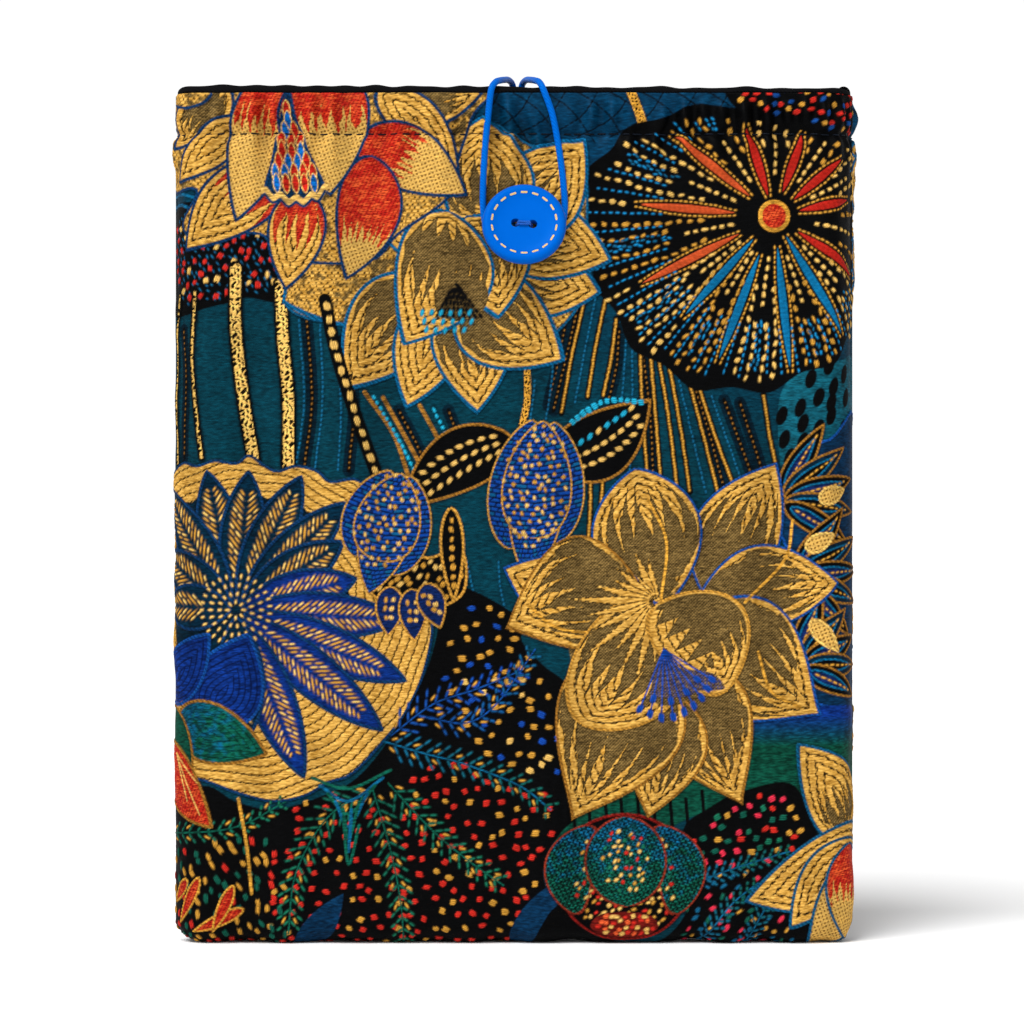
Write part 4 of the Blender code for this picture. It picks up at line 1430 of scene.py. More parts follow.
def weave_shading(canvas):
    """The last of the weave: twill in every colour, and painted shade where threads lie lower than those
    round them, with a little painted highlight where they stand higher.
    """
    twill = np.sin((canvas.u[None] + canvas.v[:, None]) * 2 * math.pi / 1.3)
    nearby = averaged(averaged(canvas.lift, 2, 0), 2, 1)
    # painted shade in the hollows of the relief and a little painted highlight on its crests, by how far
    # each point lies under or over its neighbours
    hollow_shade_and_crest_light = np.clip((canvas.lift - nearby) * 2.6, -0.62, 0.28)
    canvas.rgb *= (DYE * (1 + 0.06 * twill + 0.06 * canvas.fibre + hollow_shade_and_crest_light))[..., None]
    light = np.clip(canvas.rgb.mean(-1) / MIDDLE_TONE, 0.02, 2.0)
    canvas.rgb *= (light**CONTRAST)[..., None]
    np.clip(canvas.rgb, 0.0, 1.0, out=canvas.rgb)


# ---- the sleeve's shape, as in the CAD, in mm ----

HALF_WIDTH = 130.0
HALF_DEPTH = 13.5
EDGE_ROUND = 14.0
FLAT_HALF = HALF_WIDTH - EDGE_ROUND
CORNER_ROUND = 9.0
BASE_ROUND = 9.0
BASE_FLAT = 6.0
BASE_SEAM_BACK = 4.0
FABRIC_TOP = 324.0
HEM = 308.3
HEM_DIP = 0.8
HEM_SPREAD = 6.0
QUARTER = math.pi / 2


def rounded_corner(x, z, half, under):
    """Pulls the square bottom corners in to round ones."""
    radius = np.maximum(CORNER_ROUND - under, 2.0)
    p = (np.abs(x) - (half - radius)) / radius
    q = (under + radius - z) / radius
    corner = (p > 0) & (q > 0)
    p1, q1 = np.clip(p, 0, 1), np.clip(q, 0, 1)
    p_round = p1 * np.sqrt(np.maximum(0, 1 - q1 * q1 / 2))
    q_round = q1 * np.sqrt(np.maximum(0, 1 - p1 * p1 / 2))
    x = np.where(corner, np.sign(x) * (half - radius + radius * p_round), x)
    z = np.where(corner, under + radius * (1 - q_round), z)
    return x, z


def wall_point(side, u, v, under=0.0, gap=0.15):
    """Points of a wall, an array in mm. side is -1 in front and 1 behind; under is how deep."""
    u, v, under = np.broadcast_arrays(
        np.asarray(u, float), np.asarray(v, float), np.asarray(under, float)
    )
    dip = HEM_DIP * np.exp(-(((v - HEM) / (HEM_SPREAD * 0.45)) ** 2))
    half = HALF_WIDTH - under - dip
    full = HALF_DEPTH - under - dip
    edge = EDGE_ROUND - under
    turn = np.clip((np.abs(u) - FLAT_HALF) / edge, 0, QUARTER)
    x = np.where(turn > 0, np.sign(u) * (half - edge + edge * np.sin(turn)), u * (half - edge) / FLAT_HALF)
    depth_x = np.cos(turn)
    base = BASE_ROUND - under
    rise = np.clip(QUARTER - (BASE_ROUND - v) / base, 0, QUARTER)
    z = np.where(v >= BASE_ROUND, v, under + base * (1 - np.cos(rise)))
    base_flat = BASE_FLAT / full
    low = BASE_ROUND - base * QUARTER
    flat_share = np.clip((v - low + BASE_FLAT) / BASE_FLAT, 0, 1)
    depth_z = base_flat * flat_share + (1 - base_flat) * np.sin(rise)
    x, z = rounded_corner(x, z, half, under)
    seam = BASE_SEAM_BACK * depth_x**4 * (1 - depth_z)
    y = seam + side * np.maximum(gap, full * depth_x * depth_z)
    return np.stack([x, y, z], -1)


def normals_of(points, side):
    """Unit normals of a grid of points, facing out of the sleeve."""
    across = np.gradient(points, axis=1)
    up = np.gradient(points, axis=0)
    normal = np.cross(across, up) if side < 0 else np.cross(up, across)
    length = np.linalg.norm(normal, axis=-1, keepdims=True)
    return normal / np.maximum(length, 1e-9)


RIPPLE_WAVES = 7


def ripple(u, v, seed, spread_u, spread_v):
    """A smooth random field with features of about the given sizes, in mm."""
    rng = np.random.default_rng(seed)
    out = 0.0
    for _ in range(RIPPLE_WAVES):
        f = rng.uniform(0.6, 1.4) * 2 * math.pi / spread_u
        g = rng.uniform(-1.0, 1.0) * 2 * math.pi / spread_v
        out = out + np.sin(f * u + g * v + rng.uniform(0, 2 * math.pi))
    return out / math.sqrt(RIPPLE_WAVES / 2)


DEEPEST = 1.1


def drape(side, u, v):
    """How far the cover stands off the plain wall, in mm: hem, puckers, creases and seams."""
    seed = 40 + side
    hem_roll = 0.75 * np.exp(-(((v - HEM - 7.5) / 4.2) ** 2))
    hem_roll = hem_roll + 0.45 * np.exp(-(((v - HEM + 6.5) / 4.5) ** 2))
    pinch = -0.45 * np.exp(-(((v - HEM) / 1.3) ** 2))
    under_hem = np.exp(-np.abs(v - HEM + 3) / 11.0)
    over_hem = np.exp(-(((v - HEM - 7) / 6.0) ** 2))
    puckers = 1.25 * ripple(u, v, seed, 11, 90) * under_hem
    puckers = puckers + 1.0 * ripple(u, v, seed + 7, 9, 60) * over_hem
    creases = 0.42 * ripple(u, v, seed + 3, 30, 140)
    creases = creases + 0.34 * ripple(u + 0.6 * v, v, seed + 5, 46, 60)
    edge = np.exp(-(np.clip(U_EDGE - np.abs(u), 0, None) / 7.0))
    seam_pull = -0.9 * edge + 0.30 * edge * ripple(u, v, seed + 9, 200, 9)
    low = np.exp(-(np.clip(v + 4, 0, None) / 7.0))
    base_pull = 0.12 * low * ripple(u, v, seed + 11, 13, 200)
    front = np.where(side < 0, 1.0, 0.0)
    gather = np.exp(-(((u - 84) / 20) ** 2 + ((v - 68) / 14) ** 2))
    gather = gather + np.exp(-(((u - 38) / 26) ** 2 + ((v - 52) / 12) ** 2))
    creases = creases + 0.42 * front * gather * ripple(u, v, 91, 5.5, 60)
    near_seam = np.clip((U_EDGE - np.abs(u)) / 3.0, 0, 1) * np.clip((v + 11.0) / 3.0, 0, 1)
    body = (hem_roll + puckers + creases + seam_pull * 0.6 + base_pull) * near_seam + pinch
    return np.where(body < 0, -DEEPEST * np.tanh(-body / DEEPEST), body)


# ---- meshes and materials ----


def put(obj, material, body="sleeve"):
    """Gives an object its material and makes it ride on a body."""
    if material is not None:
        obj.data.materials.clear()
        obj.data.materials.append(material)
    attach(obj, body)
    return obj


def grid_object(name, points, side, colours=None, cloth=None):
    """A mesh over a grid of points in mm, with an optional colour and cloth place at each."""
    rows, columns = points.shape[:2]
    mesh = bpy.data.meshes.new(name)
    mesh.vertices.add(rows * columns)
    mesh.vertices.foreach_set("co", (points.reshape(-1) * 0.001).astype(np.float32))
    index = np.arange(rows * columns, dtype=np.int32).reshape(rows, columns)
    quads = np.stack([index[:-1, :-1], index[:-1, 1:], index[1:, 1:], index[1:, :-1]], -1)
    if side > 0:
        quads = quads[..., ::-1]
    quads = quads.reshape(-1, 4)
    mesh.loops.add(quads.size)
    mesh.loops.foreach_set("vertex_index", quads.reshape(-1))
    mesh.polygons.add(len(quads))
    mesh.polygons.foreach_set("loop_start", np.arange(0, quads.size, 4, dtype=np.int32))
    mesh.polygons.foreach_set("loop_total", np.full(len(quads), 4, np.int32))
    mesh.update(calc_edges=True)
    mesh.shade_smooth()
    if colours is not None:
        layer = mesh.attributes.new("thread_colour", "FLOAT_COLOR", "POINT")
        alpha = np.ones((rows, columns, 1), np.float32)
        layer.data.foreach_set("color", np.concatenate([colours, alpha], -1).reshape(-1).astype(np.float32))
    if cloth is not None:
        layer = mesh.attributes.new("cloth_place", "FLOAT_VECTOR", "POINT")
        layer.data.foreach_set("vector", cloth.reshape(-1).astype(np.float32))
    obj = bpy.data.objects.new(name, mesh)
    bpy.context.scene.collection.objects.link(obj)
    return obj


def tube_mesh(bm, points, radius, segments=10, taper=True):
    """Adds a round thread along the points to a bmesh; its ends close softly."""
    points = [Vector(p) for p in points]
    rings = []
    side_way = None
    for i, point in enumerate(points):
        before, after = points[max(i - 1, 0)], points[min(i + 1, len(points) - 1)]
        along = (after - before).normalized()
        if side_way is None:
            side_way = along.orthogonal().normalized()
        side_way = (side_way - along * side_way.dot(along)).normalized()
        other = along.cross(side_way)
        last = i in (0, len(points) - 1)
        size = radius * (0.45 if taper and last else 1.0)
        rings.append(
            [
                bm.verts.new(
                    point
                    + side_way * size * math.cos(2 * math.pi * k / segments)
                    + other * size * math.sin(2 * math.pi * k / segments)
                )
                for k in range(segments)
            ]
        )
    for low, high in zip(rings, rings[1:]):
        for k in range(segments):
            n = (k + 1) % segments
            bm.faces.new((low[k], low[n], high[n], high[k]))
    bm.faces.new(rings[0][::-1])
    bm.faces.new(rings[-1])


def bmesh_object(name, bm, smooth=True):
    """An object in the scene from a bmesh, which is freed."""
    mesh = bpy.data.meshes.new(name)
    bm.to_mesh(mesh)
    bm.free()
    if smooth:
        mesh.shade_smooth()
    obj = bpy.data.objects.new(name, mesh)
    bpy.context.scene.collection.objects.link(obj)
    return obj


class Nodes:
    """A small helper round a material's node tree."""

    def __init__(self, name):
        self.material = bpy.data.materials.new(name)
        self.material.use_nodes = True
        self.tree = self.material.node_tree
        self.shader = self.tree.nodes["Principled BSDF"]

    def add(self, kind, **inputs):
        node = self.tree.nodes.new(kind)
        for key, value in inputs.items():
            socket = key.replace("_", " ")
            if socket in node.inputs:
                self.put(node.inputs[socket], value)
            else:
                setattr(node, key, value)
        return node

    def put(self, socket, value):
        if isinstance(value, bpy.types.NodeSocket):
            self.tree.links.new(value, socket)
        elif isinstance(value, tuple) and len(value) == 3 and len(socket.default_value) == 4:
            socket.default_value = (*value, 1)
        else:
            socket.default_value = value

    def set(self, name, value):
        self.put(self.shader.inputs[name], value)

    def math(self, operation, a, b=0.0):
        node = self.tree.nodes.new("ShaderNodeMath")
        node.operation = operation
        self.put(node.inputs[0], a)
        self.put(node.inputs[1], b)
        return node.outputs[0]

    def mix(self, share, a, b):
        node = self.tree.nodes.new("ShaderNodeMix")
        node.data_type = "RGBA"
        self.put(node.inputs["Factor"], share)
        self.put(node.inputs[6], a)
        self.put(node.inputs[7], b)
        return node.outputs[2]

    def noise(self, vector, scale, detail=2.0, roughness=0.55):
        node = self.add("ShaderNodeTexNoise", Scale=scale, Detail=detail, Roughness=roughness)
        self.put(node.inputs["Vector"], vector)
        return node.outputs["Fac"]

    def place(self, scale=(1.0, 1.0, 1.0)):
        where = self.tree.nodes.new("ShaderNodeTexCoord").outputs["Object"]
        mapped = self.add("ShaderNodeMapping")
        self.put(mapped.inputs["Vector"], where)
        mapped.inputs["Scale"].default_value = scale
        return mapped.outputs["Vector"]

    def bump(self, height, strength, distance=0.001):
        node = self.add("ShaderNodeBump", Strength=strength, Distance=distance)
        self.put(node.inputs["Height"], height)
        self.put(self.shader.inputs["Normal"], node.outputs["Normal"])
        return node


def attribute_socket(nodes, name, output):
    node = nodes.tree.nodes.new("ShaderNodeAttribute")
    node.attribute_name = name
    return node.outputs[output]


def brocade_material(name):
    """Woven threads: the panel's own colours and the fine twill of the weave."""
    n = Nodes(name)
    colour = attribute_socket(n, "thread_colour", "Color")
    cloth = attribute_socket(n, "cloth_place", "Vector")
    fine = n.noise(cloth, 1.9, 3.0, 0.6)
    stretched = n.add("ShaderNodeMapping")
    n.put(stretched.inputs["Vector"], cloth)
    stretched.inputs["Scale"].default_value = (0.7, 2.6, 1.0)
    threads = n.noise(stretched.outputs["Vector"], 1.1, 2.0, 0.5)
    shade = n.math("ADD", n.math("MULTIPLY", fine, 0.5), n.math("MULTIPLY", threads, 0.5))
    dark = n.mix(0.28, colour, (0.0, 0.0, 0.0))
    n.set("Base Color", n.mix(n.math("MULTIPLY", n.math("SUBTRACT", shade, 0.3), 2.2), dark, colour))
    n.set("Roughness", n.math("ADD", n.math("MULTIPLY", fine, 0.16), 0.47))
    n.set("Specular IOR Level", 0.03)
    n.bump(shade, 0.35, 0.0004)
    return n.material


THREAD_SCALE = 2200.0


def thread_material(name, colour, roughness=0.6, sheen=0.15):
    """Twisted thread: a fine slanting ply in its colour and its bump."""
    n = Nodes(name)
    where = n.place()
    ply = n.add("ShaderNodeTexWave", Scale=THREAD_SCALE * 0.35, Distortion=1.2, Detail=1.0)
    ply.bands_direction = "DIAGONAL"
    n.put(ply.inputs["Vector"], where)
    grain = n.noise(where, THREAD_SCALE, 2.0)
    dark = tuple(c * 0.55 for c in colour)
    n.set("Base Color", n.mix(n.math("MULTIPLY", grain, ply.outputs["Fac"]), dark, colour))
    n.set("Roughness", roughness)
    n.set("Sheen Weight", sheen)
    n.set("Specular IOR Level", 0.1)
    n.bump(ply.outputs["Fac"], 0.35, 0.0003)
    return n.material


def lining_material(name):
    """Black cotton twill, a little dusty on its raised threads."""
    n = Nodes(name)
    where = n.place()
    twill = n.add("ShaderNodeTexWave", Scale=420.0, Distortion=0.6, Detail=1.0)
    twill.bands_direction = "DIAGONAL"
    n.put(twill.inputs["Vector"], where)
    cloud = n.noise(n.place((60.0, 60.0, 60.0)), 1.0, 3.0)
    light = n.mix(cloud, (0.0025, 0.0025, 0.003), (0.006, 0.006, 0.007))
    n.set("Base Color", n.mix(n.math("MULTIPLY", twill.outputs["Fac"], 0.5), light, (0.002, 0.002, 0.002)))
    n.set("Roughness", 0.85)
    n.set("Specular IOR Level", 0.03)
    n.bump(twill.outputs["Fac"], 0.4, 0.0003)
    return n.material


def batting_material(name):
    """Pale needled padding."""
    n = Nodes(name)
    where = n.place((1.0, 1.0, 0.6))
    felt = n.noise(where, 900.0, 4.0, 0.7)
    n.set("Base Color", n.mix(felt, (0.55, 0.53, 0.48), (0.86, 0.85, 0.81)))
    n.set("Roughness", 0.95)
    n.set("Sheen Weight", 0.2)
    n.bump(felt, 0.6, 0.0008)
    return n.material


def plastic_material(name):
    """Satin blue moulded plastic, with faint mould texture and handling marks."""
    n = Nodes(name)
    where = n.place()
    cloud = n.noise(where, 55.0, 3.0)
    fine = n.noise(where, 1500.0, 2.0)
    n.set("Base Color", n.mix(cloud, (0.0, 0.084, 0.43), (0.0, 0.096, 0.49)))
    n.set("Roughness", n.math("ADD", n.math("MULTIPLY", cloud, 0.14), 0.30))
    n.set("Specular IOR Level", 0.09)
    n.set("Specular Tint", (0.02, 0.40, 1.0, 1.0))
    n.bump(fine, 0.06, 0.0002)
    return n.material


def elastic_material(name):
    """Smooth blue elastic with the fine braid of its cover."""
    n = Nodes(name)
    where = n.place()
    braid = n.add("ShaderNodeTexWave", Scale=520.0, Distortion=0.4, Detail=0.0)
    braid.bands_direction = "DIAGONAL"
    n.put(braid.inputs["Vector"], where)
    fine = n.noise(where, 2600.0, 2.0)
    shade = n.math("ADD", n.math("MULTIPLY", braid.outputs["Fac"], 0.6), n.math("MULTIPLY", fine, 0.4))
    n.set("Base Color", n.mix(shade, (0.0, 0.070, 0.36), (0.0, 0.125, 0.58)))
    n.set("Roughness", 0.42)
    n.set("Specular IOR Level", 0.14)
    n.set("Specular Tint", (0.05, 0.50, 1.0, 1.0))
    n.bump(shade, 0.22, 0.00025)
    return n.material


# ---- the cover ----

# Painted shade in the valleys of the folds: the cloth is darker by this share for each mm below the level
FOLD_SHADE = 0.20
FOLD_LEVEL = 0.35
# The top edge turned in: rows of (height, how far under the wall, share of the top row's colour kept), the
# last a painted shade that deepens as the edge turns under
TURN_IN = ((324.0, 0.10, 0.80), (324.0, 0.6, 0.5), (323.2, 1.3, 0.3), (320.5, 1.55, 0.2))
# Where the panels meet the base seam
BASE_SEAM_V = -11.14


def cover_panel(name, side, layout, seed, material):
    """One panel: the drawn cloth laid on the wall, with its relief, and its top edge turned in."""
    canvas = Canvas((PITCH if side < 0 else BACK_PITCH) * (1), seed)
    layout(canvas)
    weave_shading(canvas)
    low = int(np.searchsorted(canvas.v, BASE_SEAM_V))
    u, v = np.meshgrid(canvas.u, canvas.v[low:])
    colours, lift = canvas.rgb[low:], canvas.lift[low:]
    flat = np.where(side < 0, u, -u)
    base = wall_point(side, u, v)
    normal = normals_of(wall_point(side, u, v, 0.0, 0.15), side)
    calm = np.clip((U_EDGE - np.abs(u)) / 1.6, 0, 1) * np.clip((v + 11.0) / 1.6, 0, 1)
    calm = calm * np.clip((FABRIC_TOP + 0.2 - v) / 1.2, 0.2, 1)
    fold = drape(side, flat, v)
    # painted shade where the cloth lies low in its folds
    colours = colours * (1 - FOLD_SHADE * np.clip(FOLD_LEVEL - fold, 0, 1.5))[..., None]
    height = lift * calm + fold
    points = base + normal * height[..., None]
    points[..., 2] = np.maximum(points[..., 2], 0.0)
    rows, shades = [points], [colours]
    for place, under, turn_in_shade in TURN_IN:
        line = wall_point(side, canvas.u, place, under)
        rows.append((line + normal[-1] * drape(side, flat[-1], v[-1])[..., None])[None])
        # the turned-in rows keep the top row's colour with painted shade
        shades.append(colours[-1:] * turn_in_shade)
    points, colours = np.concatenate(rows), np.concatenate(shades)
    cloth = np.zeros(points.shape, np.float32)
    cloth[: len(u), :, 0], cloth[: len(u), :, 1] = u, v
    cloth[len(u) :, :, 0], cloth[len(u) :, :, 1] = canvas.u, FABRIC_TOP
    obj = grid_object(name, points, side, colours, cloth)
    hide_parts("outer_" + name.split("_")[1])
    put(obj, material)
    return declare_cut(obj, points)


def declare_cut(obj, points):
    """Measures the girth and the height of the flat cloth a grid of points was cut from; the measures go
    nowhere, and the object comes back as it is.
    """
    middle, low = points.shape[1] // 2, points.shape[0] // 2
    width = np.linalg.norm(np.diff(smoothed_line(points[low]), axis=0), axis=1).sum()
    length = np.linalg.norm(np.diff(smoothed_line(points[:, middle]), axis=0), axis=1).sum()
    return obj


def smoothed_line(line):
    """The line without the relief of single threads, so that it measures the cloth."""
    out = line.copy()
    for _ in range(12):
        out[1:-1] = (out[:-2] + 2 * out[1:-1] + out[2:]) / 4
    return out


# ---- the lining with its rolled rim ----

LINING_UNDER = 5.8


def lining_panel(name, side, material):
    """The lining: up the inside of a wall, then rolled outwards over its top in soft lobes."""
    step = 1.4 * 1
    reach = FLAT_HALF + (EDGE_ROUND - LINING_UNDER) * QUARTER
    u = np.arange(-reach, reach + step / 2, step)
    u = np.concatenate([u[u < reach - step / 2], [reach]])
    v = np.concatenate([np.arange(1.0, 318, 4.0), np.arange(318, 324.4, 0.8)])
    grid_u, grid_v = np.meshgrid(u, v)
    inner = wall_point(side, grid_u, grid_v, LINING_UNDER)
    normal = normals_of(inner, side)
    crumple = 0.25 * ripple(grid_u, grid_v, 70 + side, 30, 60) - 0.1
    crumple = crumple * np.clip((reach - np.abs(grid_u)) / 6, 0, 1)
    rows = [inner - normal * crumple[..., None] * np.where(grid_v < 318, 1, 0.4)[..., None]]
    flat = u if side < 0 else -u
    lobes = 0.16 * ripple(flat, 0 * flat, 81 + side, 13, 50) + 0.10 * ripple(flat, 0 * flat, 83, 37, 50)
    fullness = 1.38 + lobes + 0.42 * np.clip(-flat / 130, -1, 1)
    for k in range(1, 12):
        turn = math.pi * k / 11
        middle, out = 3.35, 2.45
        under = middle + out * math.cos(turn)
        rise = math.sin(turn) ** 0.8
        share = (np.abs(u) - FLAT_HALF) / (EDGE_ROUND - LINING_UNDER)
        u_out = np.where(share > 0, np.sign(u) * (FLAT_HALF + share * (EDGE_ROUND - under)), u)
        line = wall_point(side, u_out, 324.35, under)
        line[..., 2] += rise * 1.45 * fullness + (0.12 if k < 11 else -0.25)
        rows.append(line[None])
    points = np.concatenate(rows)
    obj = grid_object(name, points, side)
    obj.data.flip_normals()
    solid = obj.modifiers.new("thickness", "SOLIDIFY")
    solid.thickness = 0.0005
    solid.offset = 0
    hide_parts("lining_" + name.split("_")[1])
    put(obj, material)
    return declare_cut(obj, points)


# ---- stitches ----

DASH = 3.3
DASH_GAP = 1.15
DASH_RADIUS = 0.30


def topstitch(name, side, material):
    """The row of stitches that gathers the top of the cover."""
    rng = np.random.default_rng(21 + side)
    bm = bmesh.new()
    u = -135.0
    while u < 133.0:
        length = DASH * rng.uniform(0.85, 1.15)
        run = np.linspace(u, u + length, 7)
        drift = rng.uniform(-0.18, 0.18)
        off = DASH_RADIUS * (np.sin(np.linspace(0, math.pi, 7)) ** 0.5 * 1.15 - 0.55)
        flat = run if side < 0 else -run
        grid_u, grid_v = np.meshgrid(run, np.array([HEM + drift - 0.1, HEM + drift, HEM + drift + 0.1]))
        points = wall_point(side, grid_u, grid_v)
        normal = normals_of(points, side)[1]
        height = drape(side, flat, HEM + drift) + off + 0.15
        line = points[1] + normal * height[:, None]
        tube_mesh(bm, line * 0.001, DASH_RADIUS * 0.001, 8)
        u += length + DASH_GAP * rng.uniform(0.8, 1.2)
    obj = bmesh_object(name, bm)
    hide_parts(name)
    return put(obj, material)


# ---- the elastic loop ----

CORD = 0.0025
LOOP_X = 0.00375
TAIL_X = 0.00125
TUCK_Z = 0.2800
TUCK_HALF = 0.0155
TUCK_DEPTH = 0.0180
STRAND = (
    (0.0016, 0.0100, 0.3280),
    (0.0018, 0.0096, 0.3292),
    (0.0024, 0.0081, 0.3303),
    (0.0036, 0.0040, 0.3308),
    (0.0052, -0.0025, 0.3301),
    (0.0068, -0.0085, 0.3292),
    (0.0084, -0.0130, 0.3280),
    (0.0100, -0.0154, 0.3248),
    (0.0121, -0.0157, 0.3160),
    (0.0135, -0.0155, 0.3070),
    (0.0146, -0.0153, 0.2975),
    (0.0153, -0.0153, 0.2885),
    (0.0155, -0.0153, 0.2800),
)


def strand_middle(z):
    """Where the middle between the two strands lies across the sleeve, at a height."""
    drift = min(1, max(0, (0.324 - z) / (0.324 - TUCK_Z)))
    return TAIL_X + (LOOP_X - TAIL_X) * drift**0.5


def loop_route():
    """Down the left strand, round behind the button and up the right strand."""
    left = [(strand_middle(z) - half, y, z) for half, y, z in STRAND]
    right = [(strand_middle(z) + half, y, z) for half, y, z in reversed(STRAND)]
    bottom = []
    for step in range(1, 8):
        turn = math.pi * step / 8
        across = LOOP_X - TUCK_HALF * math.cos(turn)
        bottom.append((across, STRAND[-1][1], TUCK_Z - TUCK_DEPTH * math.sin(turn)))
    return smoothed([Vector(p) for p in left + bottom + right], 10)


def smoothed(points, steps):
    """A smooth line through the points, with some steps from each to the next."""
    fine = []
    for i in range(len(points) - 1):
        before = points[max(i - 1, 0)]
        after = points[min(i + 2, len(points) - 1)]
        start, end = points[i], points[i + 1]
        fine += interpolate_bezier(
            start, start + (end - before) / 6, end - (after - start) / 6, end, steps + 1
        )[:-1]
    fine.append(points[-1])
    return fine


def make_loop(material):
    """The elastic cord, a round tube along the loop's route; the tails take its material."""
    route = loop_route()
    length = sum((b - a).length for a, b in zip(route, route[1:]))
    bm = bmesh.new()
    tube_mesh(bm, route, CORD / 2, 20, taper=False)
    obj = bmesh_object("elastic_cord", bm)
    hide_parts("elastic_loop")
    obj.data.materials.append(material)
    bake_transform(obj)
    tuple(route[0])
    [tuple(p) for p in route]
    for name in ("loop_tail_left", "loop_tail_right"):
        retint(name, material)


def retint(name, material):
    """A CAD piece keeps its mesh and gets a finished material."""
    node = frame["nodes"][name]
    node.data.materials.clear()
    node.data.materials.append(material)
    node.data.shade_smooth()
    return node


# ---- the button ----

BUTTON_X = 0.0038
BUTTON_Z = 0.2708
BUTTON_TILT = math.radians(17)
BUTTON_R = 0.0160
BUTTON_BACK = 0.0060
BUTTON_THICK = 0.0050
HOLE_R = 0.0017
HOLE_SPACING = 0.0066
HOLE_TURN = math.radians(5)
DASHES = 18
DASH_RING = 0.0123


def button_matrix():
    """The button's place: its axis tilted out from the front wall."""
    place = Matrix.Translation((BUTTON_X, -HALF_DEPTH * 0.001, BUTTON_Z))
    return place @ Matrix.Rotation(math.pi / 2 - BUTTON_TILT, 4, "X")


def turned(name, profile, segments):
    """A turned piece from a (radius, height) profile that starts and ends on the axis."""
    bm = bmesh.new()
    rings = []
    for radius, height in profile:
        if radius < 1e-6:
            rings.append([bm.verts.new((0, 0, height))])
            continue
        rings.append(
            [
                bm.verts.new((radius * math.cos(t), radius * math.sin(t), height))
                for t in (2 * math.pi * k / segments for k in range(segments))
            ]
        )
    for low, high in zip(rings, rings[1:]):
        for k in range(segments):
            n = (k + 1) % segments
            ring = [low[k % len(low)], low[n % len(low)], high[n % len(high)], high[k % len(high)]]
            bm.faces.new([p for i, p in enumerate(ring) if p not in ring[:i]])
    return bmesh_object(name, bm)


def button_profile():
    """The back, the round side, the soft rim and the dished face."""
    back, front = BUTTON_BACK, BUTTON_BACK + BUTTON_THICK
    points = [(0, back), (0.006, back), (0.0125, back + 0.0001)]
    for k in range(13):
        turn = -math.pi / 2 + math.pi * k / 12
        points.append(
            (
                BUTTON_R - 0.0021 + 0.0021 * math.cos(turn),
                (back + front) / 2 + BUTTON_THICK / 2 * math.sin(turn),
            )
        )
    for radius, drop in (
        (0.01330, 0.00006), (0.01270, 0.00020), (0.01220, 0.00040), (0.01170, 0.00062),
        (0.01110, 0.00084), (0.01040, 0.00102), (0.0094, 0.00116), (0.0080, 0.00125),
        (0.0060, 0.00130), (0.0035, 0.00132), (0.0, 0.00132),
    ):
        points.append((radius, front - drop))
    return points


def face_drop(radius):
    """How far the dished face lies under the rim's top at a radius."""
    table = (
        (0.0, 0.00132), (0.006, 0.0013), (0.0094, 0.00116), (0.0111, 0.00084), (0.0122, 0.0004),
        (0.0133, 0.00006),
    )
    return float(np.interp(radius, [r for r, _ in table], [d for _, d in table]))


def hole_places():
    """The middles of the two sewing holes, from the button's own middle."""
    across = Vector((math.cos(HOLE_TURN), -math.sin(HOLE_TURN), 0))
    return [-across * HOLE_SPACING / 2, across * HOLE_SPACING / 2]


def make_button(plastic, inlay):
    """The dished disc with its two holes cut through and its ring of dashes."""
    body = turned("button_disc", button_profile(), 96)
    body.matrix_world = button_matrix()
    for number, place in enumerate(hole_places(), 1):
        bm = bmesh.new()
        bmesh.ops.create_cone(
            bm, cap_ends=True, segments=40, radius1=HOLE_R, radius2=HOLE_R, depth=0.02,
            matrix=Matrix.Translation(place + Vector((0, 0, BUTTON_BACK))),
        )
        tool = bmesh_object(f"hole_cutter_{number}", bm, smooth=False)
        tool.matrix_world = body.matrix_world
        cut = body.modifiers.new("hole", "BOOLEAN")
        cut.operation = "DIFFERENCE"
        cut.object = tool
        cut.solver = "EXACT"
    bpy.context.view_layer.update()
    graph = bpy.context.evaluated_depsgraph_get()
    cut_mesh = bpy.data.meshes.new_from_object(body.evaluated_get(graph))
    body.modifiers.clear()
    body.data = cut_mesh
    body.data.shade_smooth()
    for number in (1, 2):
        bpy.data.objects.remove(bpy.data.objects[f"hole_cutter_{number}"])
    mark_sharp_holes(body.data)
    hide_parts("button")
    put(body, plastic, "button")
    make_inlay(inlay)


def mark_sharp_holes(mesh):
    """The holes' edges stay crisp."""
    bm = bmesh.new()
    bm.from_mesh(mesh)
    for edge in bm.edges:
        if len(edge.link_faces) == 2 and edge.calc_face_angle(0) > math.radians(50):
            edge.smooth = False
    bm.to_mesh(mesh)
    bm.free()


